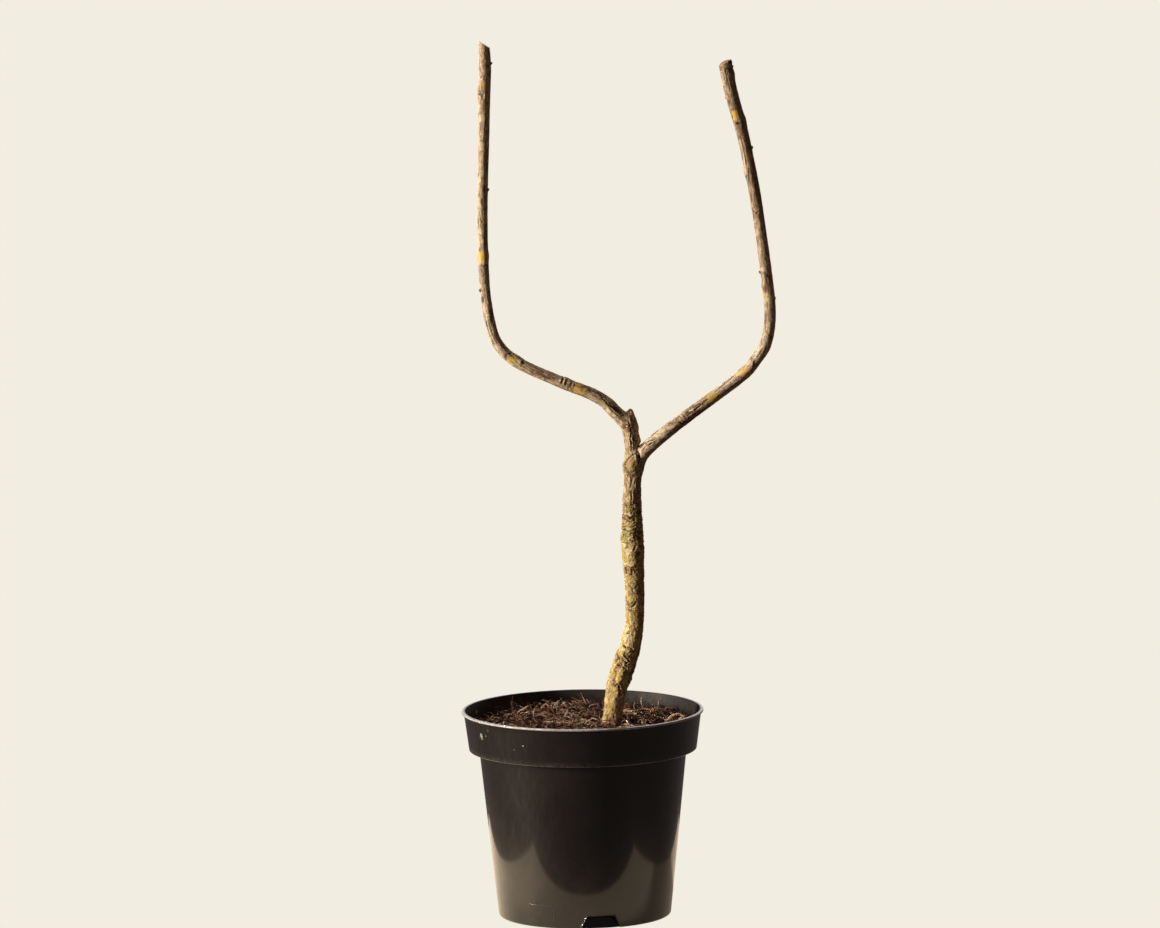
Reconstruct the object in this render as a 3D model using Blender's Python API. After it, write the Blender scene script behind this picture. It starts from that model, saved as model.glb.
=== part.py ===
"""Espaliered plum tree: a short trunk with two bare boughs trained into a U, in a nursery pot.

Units are metres, +Z up. The origin is the centre of the pot's flat underside. The tree's
fan lies along X, and -Y is its front. Each limb follows a short course of
(x, y, z, radius) points: where it changes direction or thickness, and nowhere else.
"""

from math import cos, exp, radians, sin, tau

import bmesh
import bpy
import numpy as np

CLEARANCE = 0.0003

# Pot: injection-moulded 10-litre container, 280 mm across the lip and 240 mm tall
POT_HEIGHT = 0.240
POT_WALL = 0.0018
BASE_RADIUS = 0.0996
BASE_ROUNDING = 0.003
BODY_TOP_RADIUS = 0.1201
BAND_BOTTOM = 0.1945
BAND_BOTTOM_RADIUS = 0.1317
BAND_TOP_RADIUS = 0.1374
LIP_RADIUS = 0.140
LIP_THICKNESS = 0.0024
POT_SEGMENTS = 64
ROUNDING_STEPS = 3
CUTTER_OVERRUN = 0.03  # how far a cutter runs on past the face it opens

# Drainage: three channels under the floor, each open at a notch in the wall
CHANNEL_COUNT = 3
CHANNEL_TURN = radians(10.8)
CHANNEL_HEIGHT = 0.0152
CHANNEL_TOP_WIDTH = 0.0324
CHANNEL_BOTTOM_WIDTH = 0.0475
CHANNEL_INNER_END = 0.034
DRAIN_RADIUS = 0.005
DRAIN_REACHES = (0.052, 0.077)
DRAIN_SIDES = 12
CUT_BELOW_GROUND = 0.002

# Potting soil: level round the trunk, sloping down a little towards the wall
SOIL_LEVEL = 0.2225
SOIL_LEVEL_RADIUS = 0.070
SOIL_EDGE_DROP = 0.003
SOIL_RINGS = 4

# Limbs
RING_SPACING = 0.009
KNOT_RING_SPACING = 0.0035
LIMB_SIDES = 14
TRUNK_SIDES = 16
SAMPLES_PER_LEG = 24
OVALNESS = 0.03  # share of the radius, as is the next
LUMPINESS = 0.02
OVAL_TURN = 9  # how fast the oval turns along a limb, and the lumps change, in radians a metre
LUMP_TURN = 31
LUMP_WAVE = 47
BUD_SIDES = 6
BUD_ROOT = 0.5  # where a bud starts, as a share of its limb's radius
BUD_WAIST = 0.7  # its radius half-way out, as a share of its base's
BUD_LEAN = 0.7  # how far its tip lies towards the limb's tip, as a share of its length

LEFT = (-1, 0, 0)
RIGHT = (1, 0, 0)
FRONT = (0, -1, 0)
ABOVE = (0, 0, 1)

# The trunk leans right from its foot, thickens at the graft at z = 0.43 and forks at
# z = 0.52. Its cut-back leader ends in a dead, rounded heel above the left bough.
TRUNK_COURSE = (
    (0.0339, -0.008, SOIL_LEVEL + CLEARANCE, 0.0116),
    (0.0357, -0.007, 0.2430, 0.0108),
    (0.0414, -0.005, 0.2710, 0.0121),
    (0.0498, -0.003, 0.2945, 0.0128),
    (0.0569, -0.002, 0.3150, 0.0114),
    (0.0617, 0.000, 0.3450, 0.0106),
    (0.0613, 0.001, 0.3950, 0.0117),
    (0.0606, 0.002, 0.4290, 0.0133),
    (0.0602, 0.003, 0.4680, 0.0117),
    (0.0613, 0.004, 0.5060, 0.0102),
    (0.0623, 0.004, 0.5220, 0.0118),
    (0.0602, 0.004, 0.5420, 0.0078),
    (0.0595, 0.004, 0.5620, 0.0084),
    (0.0592, 0.004, 0.5780, 0.0066),
    (0.0597, 0.004, 0.5880, 0.0026),
)
LEFT_BOUGH_COURSE = (
    (0.0588, 0.004, 0.5675, 0.0080),
    (0.0509, 0.004, 0.5764, 0.0079),
    (0.0247, 0.004, 0.6021, 0.0071),
    (-0.0211, 0.008, 0.6214, 0.0066),
    (-0.0665, 0.012, 0.6422, 0.0066),
    (-0.0851, 0.014, 0.6563, 0.0065),
    (-0.0962, 0.015, 0.6736, 0.0062),
    (-0.1041, 0.016, 0.7119, 0.0060),
    (-0.1073, 0.018, 0.7535, 0.0061),
    (-0.1078, 0.020, 0.8205, 0.0063),
    (-0.1056, 0.020, 0.8899, 0.0064),
    (-0.1038, 0.018, 0.9537, 0.0070),
    (-0.1027, 0.017, 0.9827, 0.0070),
    (-0.1032, 0.016, 1.0120, 0.0064),
)
RIGHT_BOUGH_COURSE = (
    (0.0620, 0.004, 0.5220, 0.0088),
    (0.0760, 0.001, 0.5410, 0.0080),
    (0.1062, 0.002, 0.5666, 0.0075),
    (0.1528, 0.006, 0.5997, 0.0068),
    (0.1934, 0.010, 0.6298, 0.0068),
    (0.2058, 0.011, 0.6450, 0.0068),
    (0.2162, 0.013, 0.6612, 0.0069),
    (0.2218, 0.015, 0.6960, 0.0068),
    (0.2172, 0.017, 0.7495, 0.0068),
    (0.2060, 0.018, 0.8341, 0.0068),
    (0.1941, 0.017, 0.8980, 0.0070),
    (0.1821, 0.015, 0.9446, 0.0075),
    (0.1744, 0.013, 0.9790, 0.0074),
    (0.1722, 0.013, 0.9880, 0.0068),
)
BEND_POINT = 5

# Swellings: (where along X or Z, which side, height, half length, half angle)
TRUNK_KNOTS = (
    ("z", 0.275, RIGHT, 0.0012, 0.005, 35),
    ("z", 0.302, LEFT, 0.0014, 0.005, 45),
    ("z", 0.321, LEFT, 0.0014, 0.005, 45),
    ("z", 0.441, LEFT, 0.0012, 0.006, 40),
    ("z", 0.527, FRONT, 0.0028, 0.008, 50),
    ("z", 0.553, RIGHT, 0.0034, 0.007, 45),
)
LEFT_ARM_KNOTS = (
    ("x", 0.035, ABOVE, 0.0008, 0.005, 60),
    ("x", -0.015, ABOVE, 0.0010, 0.006, 60),
    ("x", -0.072, ABOVE, 0.0014, 0.007, 50),
)
LEFT_UPRIGHT_KNOTS = (
    ("z", 0.768, RIGHT, 0.0010, 0.006, 70),
    ("z", 0.808, LEFT, 0.0010, 0.006, 60),
    ("z", 0.955, LEFT, 0.0014, 0.008, 60),
)
RIGHT_ARM_KNOTS = (
    ("x", 0.150, ABOVE, 0.0010, 0.006, 60),
    ("x", 0.190, ABOVE, 0.0010, 0.006, 60),
)
RIGHT_UPRIGHT_KNOTS = (
    ("z", 0.730, LEFT, 0.0010, 0.006, 70),
    ("z", 0.862, LEFT, 0.0014, 0.006, 50),
    ("z", 0.920, RIGHT, 0.0012, 0.007, 60),
    ("z", 0.975, RIGHT, 0.0014, 0.006, 60),
)

# Buds and cut-back spurs: (where along X or Z, which side, length, base radius)
TRUNK_BUDS = (("z", 0.524, LEFT, 0.0020, 0.0022),)
LEFT_ARM_BUDS = (("x", -0.072, FRONT, 0.0020, 0.0032),)
LEFT_UPRIGHT_BUDS = (
    ("z", 0.727, LEFT, 0.0024, 0.0020),
    ("z", 0.8435, RIGHT, 0.0026, 0.0020),
    ("z", 0.990, RIGHT, 0.0024, 0.0022),
)
RIGHT_ARM_BUDS = (("x", 0.200, FRONT, 0.0014, 0.0026),)
RIGHT_UPRIGHT_BUDS = (
    ("z", 0.717, RIGHT, 0.0026, 0.0022),
    ("z", 0.748, LEFT, 0.0024, 0.0020),
    ("z", 0.888, RIGHT, 0.0028, 0.0022),
    ("z", 0.950, LEFT, 0.0018, 0.0024),
    ("z", 0.981, RIGHT, 0.0024, 0.0022),
)

# Which way each flat cut faces: the trunk's foot is level, and the boughs' tops slant
FOOT_CUT = (0, 0, 1)
LEFT_TIP_CUT = (0.60, 0, 1)
RIGHT_TIP_CUT = (-0.45, 0, 1)


def clear_scene():
    for obj in list(bpy.data.objects):
        bpy.data.objects.remove(obj)


def material(name, colour, roughness):
    made = bpy.data.materials.new(name)
    made.use_nodes = True
    shader = made.node_tree.nodes["Principled BSDF"]
    shader.inputs["Base Color"].default_value = (*colour, 1)
    shader.inputs["Roughness"].default_value = roughness
    shader.inputs["Metallic"].default_value = 0
    made.diffuse_color = (*colour, 1)
    return made


def add_mesh(name, points, faces, finish=None):
    """An object from points and faces, its faces turned outwards and its round parts smooth."""
    mesh = bpy.data.meshes.new(name)
    mesh.from_pydata([tuple(map(float, p)) for p in points], [], faces)
    shape = bmesh.new()
    shape.from_mesh(mesh)
    bmesh.ops.recalc_face_normals(shape, faces=shape.faces)
    shape.to_mesh(mesh)
    shape.free()
    mesh.shade_smooth()
    mesh.set_sharp_from_angle(angle=radians(40))
    if finish:
        mesh.materials.append(finish)
    obj = bpy.data.objects.new(name, mesh)
    bpy.context.scene.collection.objects.link(obj)
    return obj


def as_helper(obj):
    obj.hide_render = True
    obj.display_type = "WIRE"
    return obj


def combine(obj, other, operation):
    """Cuts the helper from the object, or fuses it on."""
    modifier = obj.modifiers.new(f"{operation.lower()} {other.name}", "BOOLEAN")
    modifier.operation = operation
    modifier.object = as_helper(other)


def turned(name, profile, finish=None):
    """Turns a profile of (radius, height) points, which starts and ends on the axis, about Z."""
    angles = [tau * k / POT_SEGMENTS for k in range(POT_SEGMENTS)]
    points = [(0, 0, profile[0][1]), (0, 0, profile[-1][1])]
    for radius, height in profile[1:-1]:
        points += [(radius * cos(a), radius * sin(a), height) for a in angles]
    faces = []
    last_ring = len(profile) - 3
    for k in range(POT_SEGMENTS):
        following = (k + 1) % POT_SEGMENTS
        for ring in range(last_ring):
            low, high = 2 + ring * POT_SEGMENTS, 2 + (ring + 1) * POT_SEGMENTS
            faces.append((low + k, low + following, high + following, high + k))
        top = 2 + last_ring * POT_SEGMENTS
        faces.append((0, 2 + following, 2 + k))
        faces.append((1, top + k, top + following))
    return add_mesh(name, points, faces, finish)


def rounded_foot(radius, rounding):
    """The quarter circle that joins the underside to the wall."""
    steps = [radians(-90 + 90 * k / ROUNDING_STEPS) for k in range(ROUNDING_STEPS + 1)]
    return [(radius - rounding + rounding * cos(a), rounding + rounding * sin(a)) for a in steps]


def pot_outside():
    return [
        (0, 0),
        *rounded_foot(BASE_RADIUS, BASE_ROUNDING),
        (BODY_TOP_RADIUS, BAND_BOTTOM),
        (BAND_BOTTOM_RADIUS, BAND_BOTTOM),
        (BAND_TOP_RADIUS, POT_HEIGHT - LIP_THICKNESS),
        (LIP_RADIUS, POT_HEIGHT - LIP_THICKNESS),
        (LIP_RADIUS, POT_HEIGHT),
        (0, POT_HEIGHT),
    ]


def inner_radius(height, gap):
    """Radius of the space inside the pot at a height, less a gap to the wall."""
    if height < BAND_BOTTOM + POT_WALL + gap:
        climb = height / BAND_BOTTOM
        outer = BASE_RADIUS + climb * (BODY_TOP_RADIUS - BASE_RADIUS)
    else:
        climb = (height - BAND_BOTTOM) / (POT_HEIGHT - LIP_THICKNESS - BAND_BOTTOM)
        outer = BAND_BOTTOM_RADIUS + climb * (BAND_TOP_RADIUS - BAND_BOTTOM_RADIUS)
    return outer - POT_WALL - gap


def pot_inside(gap):
    """The profile inside the pot up to its shoulder, held off the wall and floor by a gap."""
    floor = POT_WALL + gap
    shoulder = BAND_BOTTOM + POT_WALL + gap
    return [
        (0, floor),
        (inner_radius(floor, gap), floor),
        (inner_radius(BAND_BOTTOM, gap), shoulder),
        (inner_radius(shoulder, gap), shoulder),
    ]


def channel(name, growth):
    """A bar with a trapezium section that lies along +X over the ground and out past the wall."""
    start, end = CHANNEL_INNER_END - growth, BASE_RADIUS + CUTTER_OVERRUN
    bottom, top = -CUT_BELOW_GROUND, CHANNEL_HEIGHT + growth
    low, high = CHANNEL_BOTTOM_WIDTH / 2 + growth, CHANNEL_TOP_WIDTH / 2 + growth
    section = [(-low, bottom), (low, bottom), (high, top), (-high, top)]
    points = [(start, y, z) for y, z in section] + [(end, y, z) for y, z in section]
    faces = [(0, 3, 2, 1), (4, 5, 6, 7)]
    faces += [(k, (k + 1) % 4, (k + 1) % 4 + 4, k + 4) for k in range(4)]
    return add_mesh(name, points, faces)


def channel_angle(k):
    """The first channel opens at the front, a little to the right."""
    return radians(-90) + CHANNEL_TURN + tau * k / CHANNEL_COUNT


def drain_hole(name, reach, angle):
    sides = [tau * k / DRAIN_SIDES for k in range(DRAIN_SIDES)]
    centre = (reach * cos(angle), reach * sin(angle))
    points = [
        (centre[0] + DRAIN_RADIUS * cos(a), centre[1] + DRAIN_RADIUS * sin(a), z)
        for z in (CHANNEL_HEIGHT - POT_WALL, CHANNEL_HEIGHT + 2 * POT_WALL)
        for a in sides
    ]
    last = DRAIN_SIDES
    faces = [tuple(reversed(range(last))), tuple(range(last, 2 * last))]
    faces += [(k, (k + 1) % last, last + (k + 1) % last, last + k) for k in range(last)]
    return add_mesh(name, points, faces)


def build_pot():
    black_plastic = material("black_plastic", (0.012, 0.010, 0.010), 0.28)
    pot = turned("pot", pot_outside(), black_plastic)
    above = POT_HEIGHT + CUTTER_OVERRUN
    cavity = turned(
        "pot_cavity", [*pot_inside(0), (inner_radius(above, 0), above), (0, above)]
    )
    for k in range(CHANNEL_COUNT):
        roof = channel(f"channel_roof_{k}", POT_WALL)
        roof.rotation_euler.z = channel_angle(k)
        combine(cavity, roof, "DIFFERENCE")
    combine(pot, cavity, "DIFFERENCE")
    for k in range(CHANNEL_COUNT):
        notch = channel(f"channel_notch_{k}", 0)
        notch.rotation_euler.z = channel_angle(k)
        combine(pot, notch, "DIFFERENCE")
        for n, reach in enumerate(DRAIN_REACHES):
            hole = drain_hole(f"drain_{k}_{n}", reach, channel_angle(k))
            combine(pot, hole, "DIFFERENCE")
    return pot


def soil_top():
    """The surface from the wall in to the axis: a gentle slope up to a level middle."""
    edge_height = SOIL_LEVEL - SOIL_EDGE_DROP
    edge = inner_radius(edge_height, CLEARANCE)
    slope = []
    for k in range(SOIL_RINGS + 1):
        part = k / SOIL_RINGS
        radius = edge + part * (SOIL_LEVEL_RADIUS - edge)
        slope.append((radius, edge_height + SOIL_EDGE_DROP * sin(part * tau / 4)))
    return [*slope, (0, SOIL_LEVEL)]


def build_soil():
    brown_soil = material("potting_soil", (0.045, 0.025, 0.016), 0.95)
    soil = turned("potting_soil", [*pot_inside(CLEARANCE), *soil_top()], brown_soil)
    for k in range(CHANNEL_COUNT):
        roof = channel(f"soil_channel_{k}", POT_WALL + CLEARANCE)
        roof.rotation_euler.z = channel_angle(k)
        combine(soil, roof, "DIFFERENCE")
    return soil


def smooth_course(course):
    """Rows of x, y, z, radius and the direction's x, y, z, on a smooth curve through a course."""
    knots = np.array(course, float)
    ends = np.vstack([2 * knots[0] - knots[1], knots, 2 * knots[-1] - knots[-2]])
    spans = np.linalg.norm(np.diff(ends[:, :3], axis=0), axis=1)
    dense = []
    for k in range(1, len(ends) - 2):
        before, here, after = spans[k - 1], spans[k], spans[k + 1]
        leave = here * (ends[k + 1] - ends[k - 1]) / (before + here)
        arrive = here * (ends[k + 2] - ends[k]) / (here + after)
        for t in np.arange(SAMPLES_PER_LEG) / SAMPLES_PER_LEG:
            dense.append(
                (2 * t**3 - 3 * t**2 + 1) * ends[k]
                + (t**3 - 2 * t**2 + t) * leave
                + (3 * t**2 - 2 * t**3) * ends[k + 1]
                + (t**3 - t**2) * arrive
            )
    dense.append(ends[-2])
    dense = np.array(dense)
    return np.hstack([dense, np.gradient(dense[:, :3], axis=0)])


def row_at(dense, lengths, distance):
    return np.array([np.interp(distance, lengths, column) for column in dense.T])


def lengths_along(dense):
    steps = np.linalg.norm(np.diff(dense[:, :3], axis=0), axis=1)
    return np.concatenate([[0], np.cumsum(steps)])


def place_on(dense, lengths, axis, value):
    """Distance along the limb to where it reaches a world X or Z."""
    column = "xyz".index(axis)
    return lengths[np.abs(dense[:, column] - value).argmin()]


def stations(total, knot_places):
    """Where the rings go: evenly, and closer together round each knot."""
    rough = list(np.linspace(0, total, max(3, round(total / RING_SPACING) + 1)))
    for place, half_length in knot_places:
        steps = int(half_length / KNOT_RING_SPACING) + 1
        near = [place + k * KNOT_RING_SPACING for k in range(-steps, steps + 1)]
        rough = [s for s in rough if s < near[0] or s > near[-1] or s in (0, total)]
        rough += [s for s in near if 0 < s < total]
    kept = []
    for s in sorted(rough):
        if not kept or s - kept[-1] > KNOT_RING_SPACING / 3:
            kept.append(s)
    kept[-1] = total
    return np.array(kept)


def unit(vector):
    return vector / np.linalg.norm(vector)


def frames_along(rows, first_side):
    """The tangent and two side directions at each row, carried along without twist."""
    side = np.array(first_side, float)
    found = []
    for row in rows:
        tangent = unit(row[4:])
        side = unit(side - tangent * side.dot(tangent))
        found.append((tangent, side, np.cross(tangent, side)))
    return found


def knot_height(distance, outward, knots):
    """How far the knots push the bark out at a distance along the limb."""
    height = 0
    for place, facing, rise, half_length, half_angle in knots:
        turn = np.arccos(np.clip(outward.dot(unit(np.array(facing, float))), -1, 1))
        spread = ((distance - place) / half_length) ** 2 + (turn / radians(half_angle)) ** 2
        height += rise * exp(-spread)
    return height


def limb_radius(radius, angle, distance):
    """Real limbs aren't round: a slight oval that turns along the limb, with low lumps."""
    oval = OVALNESS * cos(2 * angle + OVAL_TURN * distance)
    lump = LUMPINESS * cos(3 * angle - LUMP_TURN * distance) * sin(LUMP_WAVE * distance)
    return radius * (1 + oval + lump)


def shift_to_cut(offset, tangent, cut):
    """Slides a point of an end ring along the limb onto the flat cut that faces one way."""
    cut = np.array(cut, float)
    return offset - tangent * offset.dot(cut) / tangent.dot(cut)


def limb(name, dense, sides, first_side, knots=(), finish=None, growth=0, cuts=(None, None)):
    """A tapering limb along a dense course, with a flat cut at each end."""
    lengths = lengths_along(dense)
    placed = [(place_on(dense, lengths, a, v), *rest) for a, v, *rest in knots]
    where = stations(lengths[-1], [(k[0], k[3]) for k in placed])
    rows = [row_at(dense, lengths, distance) for distance in where]
    end_cuts = {0: cuts[0], lengths[-1]: cuts[1]}
    points = []
    for row, distance, (tangent, side, other) in zip(rows, where, frames_along(rows, first_side)):
        for k in range(sides):
            angle = tau * k / sides
            outward = side * cos(angle) + other * sin(angle)
            reach = limb_radius(row[3], angle, distance) + growth
            reach += knot_height(distance, outward, placed)
            offset = outward * reach
            if end_cuts.get(distance):
                offset = shift_to_cut(offset, tangent, end_cuts[distance])
            points.append(row[:3] + offset)
    rings = len(where)
    faces = [tuple(reversed(range(sides))), tuple(range((rings - 1) * sides, rings * sides))]
    for ring in range(rings - 1):
        for k in range(sides):
            low, high = ring * sides, (ring + 1) * sides
            after = (k + 1) % sides
            faces.append((low + k, low + after, high + after, high + k))
    return add_mesh(name, points, faces, finish)


def buds(name, dense, listed):
    """Short pointed buds and spur stumps, rooted deep enough to fuse with their limb."""
    lengths = lengths_along(dense)
    points, faces = [], []
    for axis, value, facing, length, base_radius in listed:
        row = row_at(dense, lengths, place_on(dense, lengths, axis, value))
        tangent = unit(row[4:])
        facing = np.array(facing, float)
        outward = unit(facing - tangent * facing.dot(tangent))
        across = np.cross(tangent, outward)
        root = row[:3] + outward * BUD_ROOT * row[3]
        tip = row[:3] + outward * (row[3] + length) + tangent * BUD_LEAN * length
        middle = row[:3] + outward * (row[3] + length / 2) + tangent * BUD_LEAN * length / 4
        first = len(points)
        for centre, radius in ((root, base_radius), (middle, BUD_WAIST * base_radius)):
            for k in range(BUD_SIDES):
                angle = tau * k / BUD_SIDES
                points.append(centre + (tangent * cos(angle) + across * sin(angle)) * radius)
        points.append(tip)
        top = first + 2 * BUD_SIDES
        faces.append(tuple(reversed(range(first, first + BUD_SIDES))))
        for k in range(BUD_SIDES):
            after = (k + 1) % BUD_SIDES
            low, high = first, first + BUD_SIDES
            faces.append((low + k, low + after, high + after, high + k))
            faces.append((high + k, high + after, top))
    return add_mesh(name, points, faces)


def build_trunk(bark):
    dense = smooth_course(TRUNK_COURSE)
    trunk = limb("trunk", dense, TRUNK_SIDES, RIGHT, TRUNK_KNOTS, bark, cuts=(FOOT_CUT, None))
    combine(trunk, buds("trunk_buds", dense, TRUNK_BUDS), "UNION")
    return trunk


def trunk_clearance():
    """The trunk's own shape, grown by the clearance, which the boughs' roots are cut to."""
    dense = smooth_course(TRUNK_COURSE)
    dense[0, 2] -= CLEARANCE
    return limb("trunk_clearance", dense, TRUNK_SIDES, RIGHT, TRUNK_KNOTS, growth=CLEARANCE)


def split_at_bend(course):
    """The dense course of the arm and of the upright, a clearance apart at the bend."""
    dense = smooth_course(course)
    lengths = lengths_along(dense)
    bend = lengths[np.linalg.norm(dense[:, :3] - course[BEND_POINT][:3], axis=1).argmin()]
    start = bend + CLEARANCE
    upright = np.vstack([row_at(dense, lengths, start), dense[lengths > start]])
    return dense[lengths <= bend], upright


def build_bough(side, course, knots, bud_lists, tip_cut, bark, clearance):
    """One bough of the U as two solids: the arm out from the trunk and the upright."""
    arm_course, upright_course = split_at_bend(course)
    arm = limb(f"{side}_bough_arm", arm_course, LIMB_SIDES, ABOVE, knots[0], bark)
    combine(arm, buds(f"{side}_arm_buds", arm_course, bud_lists[0]), "UNION")
    combine(arm, clearance, "DIFFERENCE")
    upright = limb(
        f"{side}_bough_upright",
        upright_course,
        LIMB_SIDES,
        ABOVE,
        knots[1],
        bark,
        cuts=(None, tip_cut),
    )
    combine(upright, buds(f"{side}_upright_buds", upright_course, bud_lists[1]), "UNION")


def build_tree():
    trunk_bark = material("trunk_bark", (0.36, 0.24, 0.11), 0.8)
    bough_bark = material("bough_bark", (0.22, 0.16, 0.11), 0.75)
    build_trunk(trunk_bark)
    clearance = trunk_clearance()
    build_bough(
        "left",
        LEFT_BOUGH_COURSE,
        (LEFT_ARM_KNOTS, LEFT_UPRIGHT_KNOTS),
        (LEFT_ARM_BUDS, LEFT_UPRIGHT_BUDS),
        LEFT_TIP_CUT,
        bough_bark,
        clearance,
    )
    build_bough(
        "right",
        RIGHT_BOUGH_COURSE,
        (RIGHT_ARM_KNOTS, RIGHT_UPRIGHT_KNOTS),
        (RIGHT_ARM_BUDS, RIGHT_UPRIGHT_BUDS),
        RIGHT_TIP_CUT,
        bough_bark,
        clearance,
    )


def main():
    clear_scene()
    build_pot()
    build_soil()
    build_tree()


main()
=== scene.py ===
"""The espaliered plum tree in its nursery pot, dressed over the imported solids.

Units are metres, +Z up, in the solids' own frame: the origin is the centre of the pot's flat
underside, the tree's fan lies along X, and -Y is its front. Only the tables, from the limbs'
courses to the rubs on the pot, are in millimetres. The limbs follow the same short courses of
(x, y, z, radius) points as the solids do.
"""

from math import cos, radians, sin, sqrt, tan, tau

import bmesh
import bpy
import numpy as np
from mathutils import Matrix, Vector


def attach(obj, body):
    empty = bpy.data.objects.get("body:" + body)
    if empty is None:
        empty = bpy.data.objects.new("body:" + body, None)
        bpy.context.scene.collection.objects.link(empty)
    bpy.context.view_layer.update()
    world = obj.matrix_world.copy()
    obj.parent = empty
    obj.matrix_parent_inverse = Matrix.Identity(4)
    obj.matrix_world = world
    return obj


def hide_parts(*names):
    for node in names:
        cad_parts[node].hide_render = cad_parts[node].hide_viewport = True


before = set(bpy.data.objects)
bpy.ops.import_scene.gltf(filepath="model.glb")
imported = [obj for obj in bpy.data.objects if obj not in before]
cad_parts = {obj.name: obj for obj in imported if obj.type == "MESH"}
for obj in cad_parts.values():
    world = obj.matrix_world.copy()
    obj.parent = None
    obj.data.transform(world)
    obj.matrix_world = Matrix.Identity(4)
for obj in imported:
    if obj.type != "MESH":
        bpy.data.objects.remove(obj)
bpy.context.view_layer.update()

# Pot
POT_HEIGHT = 0.240
POT_WALL = 0.0018
BASE_RADIUS = 0.0996
BASE_ROUNDING = 0.003
BODY_TOP_RADIUS = 0.1201
BAND_BOTTOM = 0.1945
BAND_BOTTOM_RADIUS = 0.1317
BAND_TOP_RADIUS = 0.1374
LIP_RADIUS = 0.140
LIP_THICKNESS = 0.0024
EDGE_ROUNDING = 0.0009
INNER_ROUNDING = 0.0015
LIP_ROOT_ROUNDING = 0.0006
# Heights and width of the lip, where it is rubbed pale and where a pale line is painted as a
# highlight
LIP_WEAR_AND_HIGHLIGHT = (0.2374, 0.2385)
LIP_WEAR_AND_HIGHLIGHT_WIDTH = 0.0016
BAND_WEAR_AND_HIGHLIGHT_WIDTH = 0.0012
POT_FRONT = radians(-90)
SHARP_ANGLE = radians(32)
POT_SEGMENTS = 224
POT_SPACING = 0.006
FILLET_STEPS = 4
CUTTER_OVERRUN = 0.03

# Drainage channels under the floor
CHANNEL_COUNT = 3
CHANNEL_TURN = radians(10.8)
CHANNEL_HEIGHT = 0.0152
CHANNEL_TOP_WIDTH = 0.0324
CHANNEL_BOTTOM_WIDTH = 0.0475
CHANNEL_INNER_END = 0.034
CUT_BELOW_GROUND = 0.002
DRAIN_RADIUS = 0.005
DRAIN_REACHES = (0.052, 0.077)
DRAIN_SIDES = 24

# Beads moulded on the wall: one round each notch, and a plain rectangle, open at its foot
BEAD_SECTION = ((-0.5, -0.3), (-0.42, 0.55), (-0.2, 0.95), (0.2, 0.95), (0.42, 0.55), (0.5, -0.3))
BEAD_SPACING = 0.0015
BEAD_GAP = 0.0006
NOTCH_LINE = 0.0012
NOTCH_RISE = 0.0005
NOTCH_LINE_FOOT = 0.0008
PANEL_LEFT, PANEL_RIGHT = -0.070, -0.037
PANEL_FOOT, PANEL_TOP = 0.0085, 0.0267
PANEL_LINE = 0.0006
PANEL_RISE = 0.00025

# Soil
SOIL_LEVEL = 0.2225
SOIL_RADIUS = 0.1345
SOIL_EDGE_DROP = 0.003
SOIL_RINGS = 90
SOIL_SECTORS = 300
SOIL_REACH = 0.131
SKIRT_SHARE = 0.968
CLEAR_OF_TRUNK = 0.0135
CHIP_COUNT = 420
CHIP_MARGIN, CHIP_LIFT = 0.006, 0.0007
FIBRE_MARGIN, FIBRE_LIFT = 0.004, 0.0003
FIBRE_STEPS, FIBRE_SIDES = 10, 4
FIBRE_CROSS = (0.31, 0.17, 0.94)
DEBRIS_STEPS, DEBRIS_SIDES = 24, 10

# Limbs. These constants are in metres, and the tables below them are in millimetres
MM = 0.001
TRUNK_STEP = 0.0008
BOUGH_STEP = 0.0010
TRUNK_SIDES = 104
BOUGH_SIDES = 64
OVALNESS = 0.03
LUMPINESS = 0.02
OVAL_TURN = 9
LUMP_TURN = 31
LUMP_WAVE = 47
SAMPLES_PER_LEG = 24
FOOT_DEPTH = 0.010
CAP_RINGS = 14
BUD_RINGS, BUD_SIDES = 22, 18
JOIN_WIDTH = 0.0075
ROOT_REACH, ROOT_SHARE = 0.008, 0.72
CUT_REACH = 0.012

LEFT = (-1, 0, 0)
RIGHT = (1, 0, 0)
FRONT = (0, -1, 0)
BACK = (0, 1, 0)
ABOVE = (0, 0, 1)
ALL_ROUND = (0, 0, 0)

# Courses: (x, y, z, radius)
TRUNK_COURSE = (
    (33.9, -8, 222.8, 11.6),
    (35.7, -7, 243, 10.8),
    (41.4, -5, 271, 12.1),
    (49.8, -3, 294.5, 12.8),
    (56.9, -2, 315, 11.4),
    (61.7, 0, 345, 10.6),
    (61.3, 1, 395, 11.7),
    (60.6, 2, 429, 13.3),
    (60.2, 3, 468, 11.7),
    (61.3, 4, 506, 10.2),
    (62.3, 4, 522, 11.8),
    (60.2, 4, 542, 7.8),
    (59.5, 4, 562, 8.4),
    (59.2, 4, 578, 6.6),
    (59.7, 4, 588, 2.6),
)
LEFT_BOUGH_COURSE = (
    (58.8, 4, 567.5, 8),
    (50.9, 4, 576.4, 7.9),
    (24.7, 4, 602.1, 7.1),
    (-21.1, 8, 621.4, 6.6),
    (-66.5, 12, 642.2, 6.6),
    (-85.1, 14, 656.3, 6.5),
    (-96.2, 15, 673.6, 6.2),
    (-104.1, 16, 711.9, 6),
    (-107.3, 18, 753.5, 6.1),
    (-107.8, 20, 820.5, 6.3),
    (-105.6, 20, 889.9, 6.4),
    (-103.8, 18, 953.7, 7),
    (-102.7, 17, 982.7, 7),
    (-103.2, 16, 1012, 6.4),
)
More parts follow.
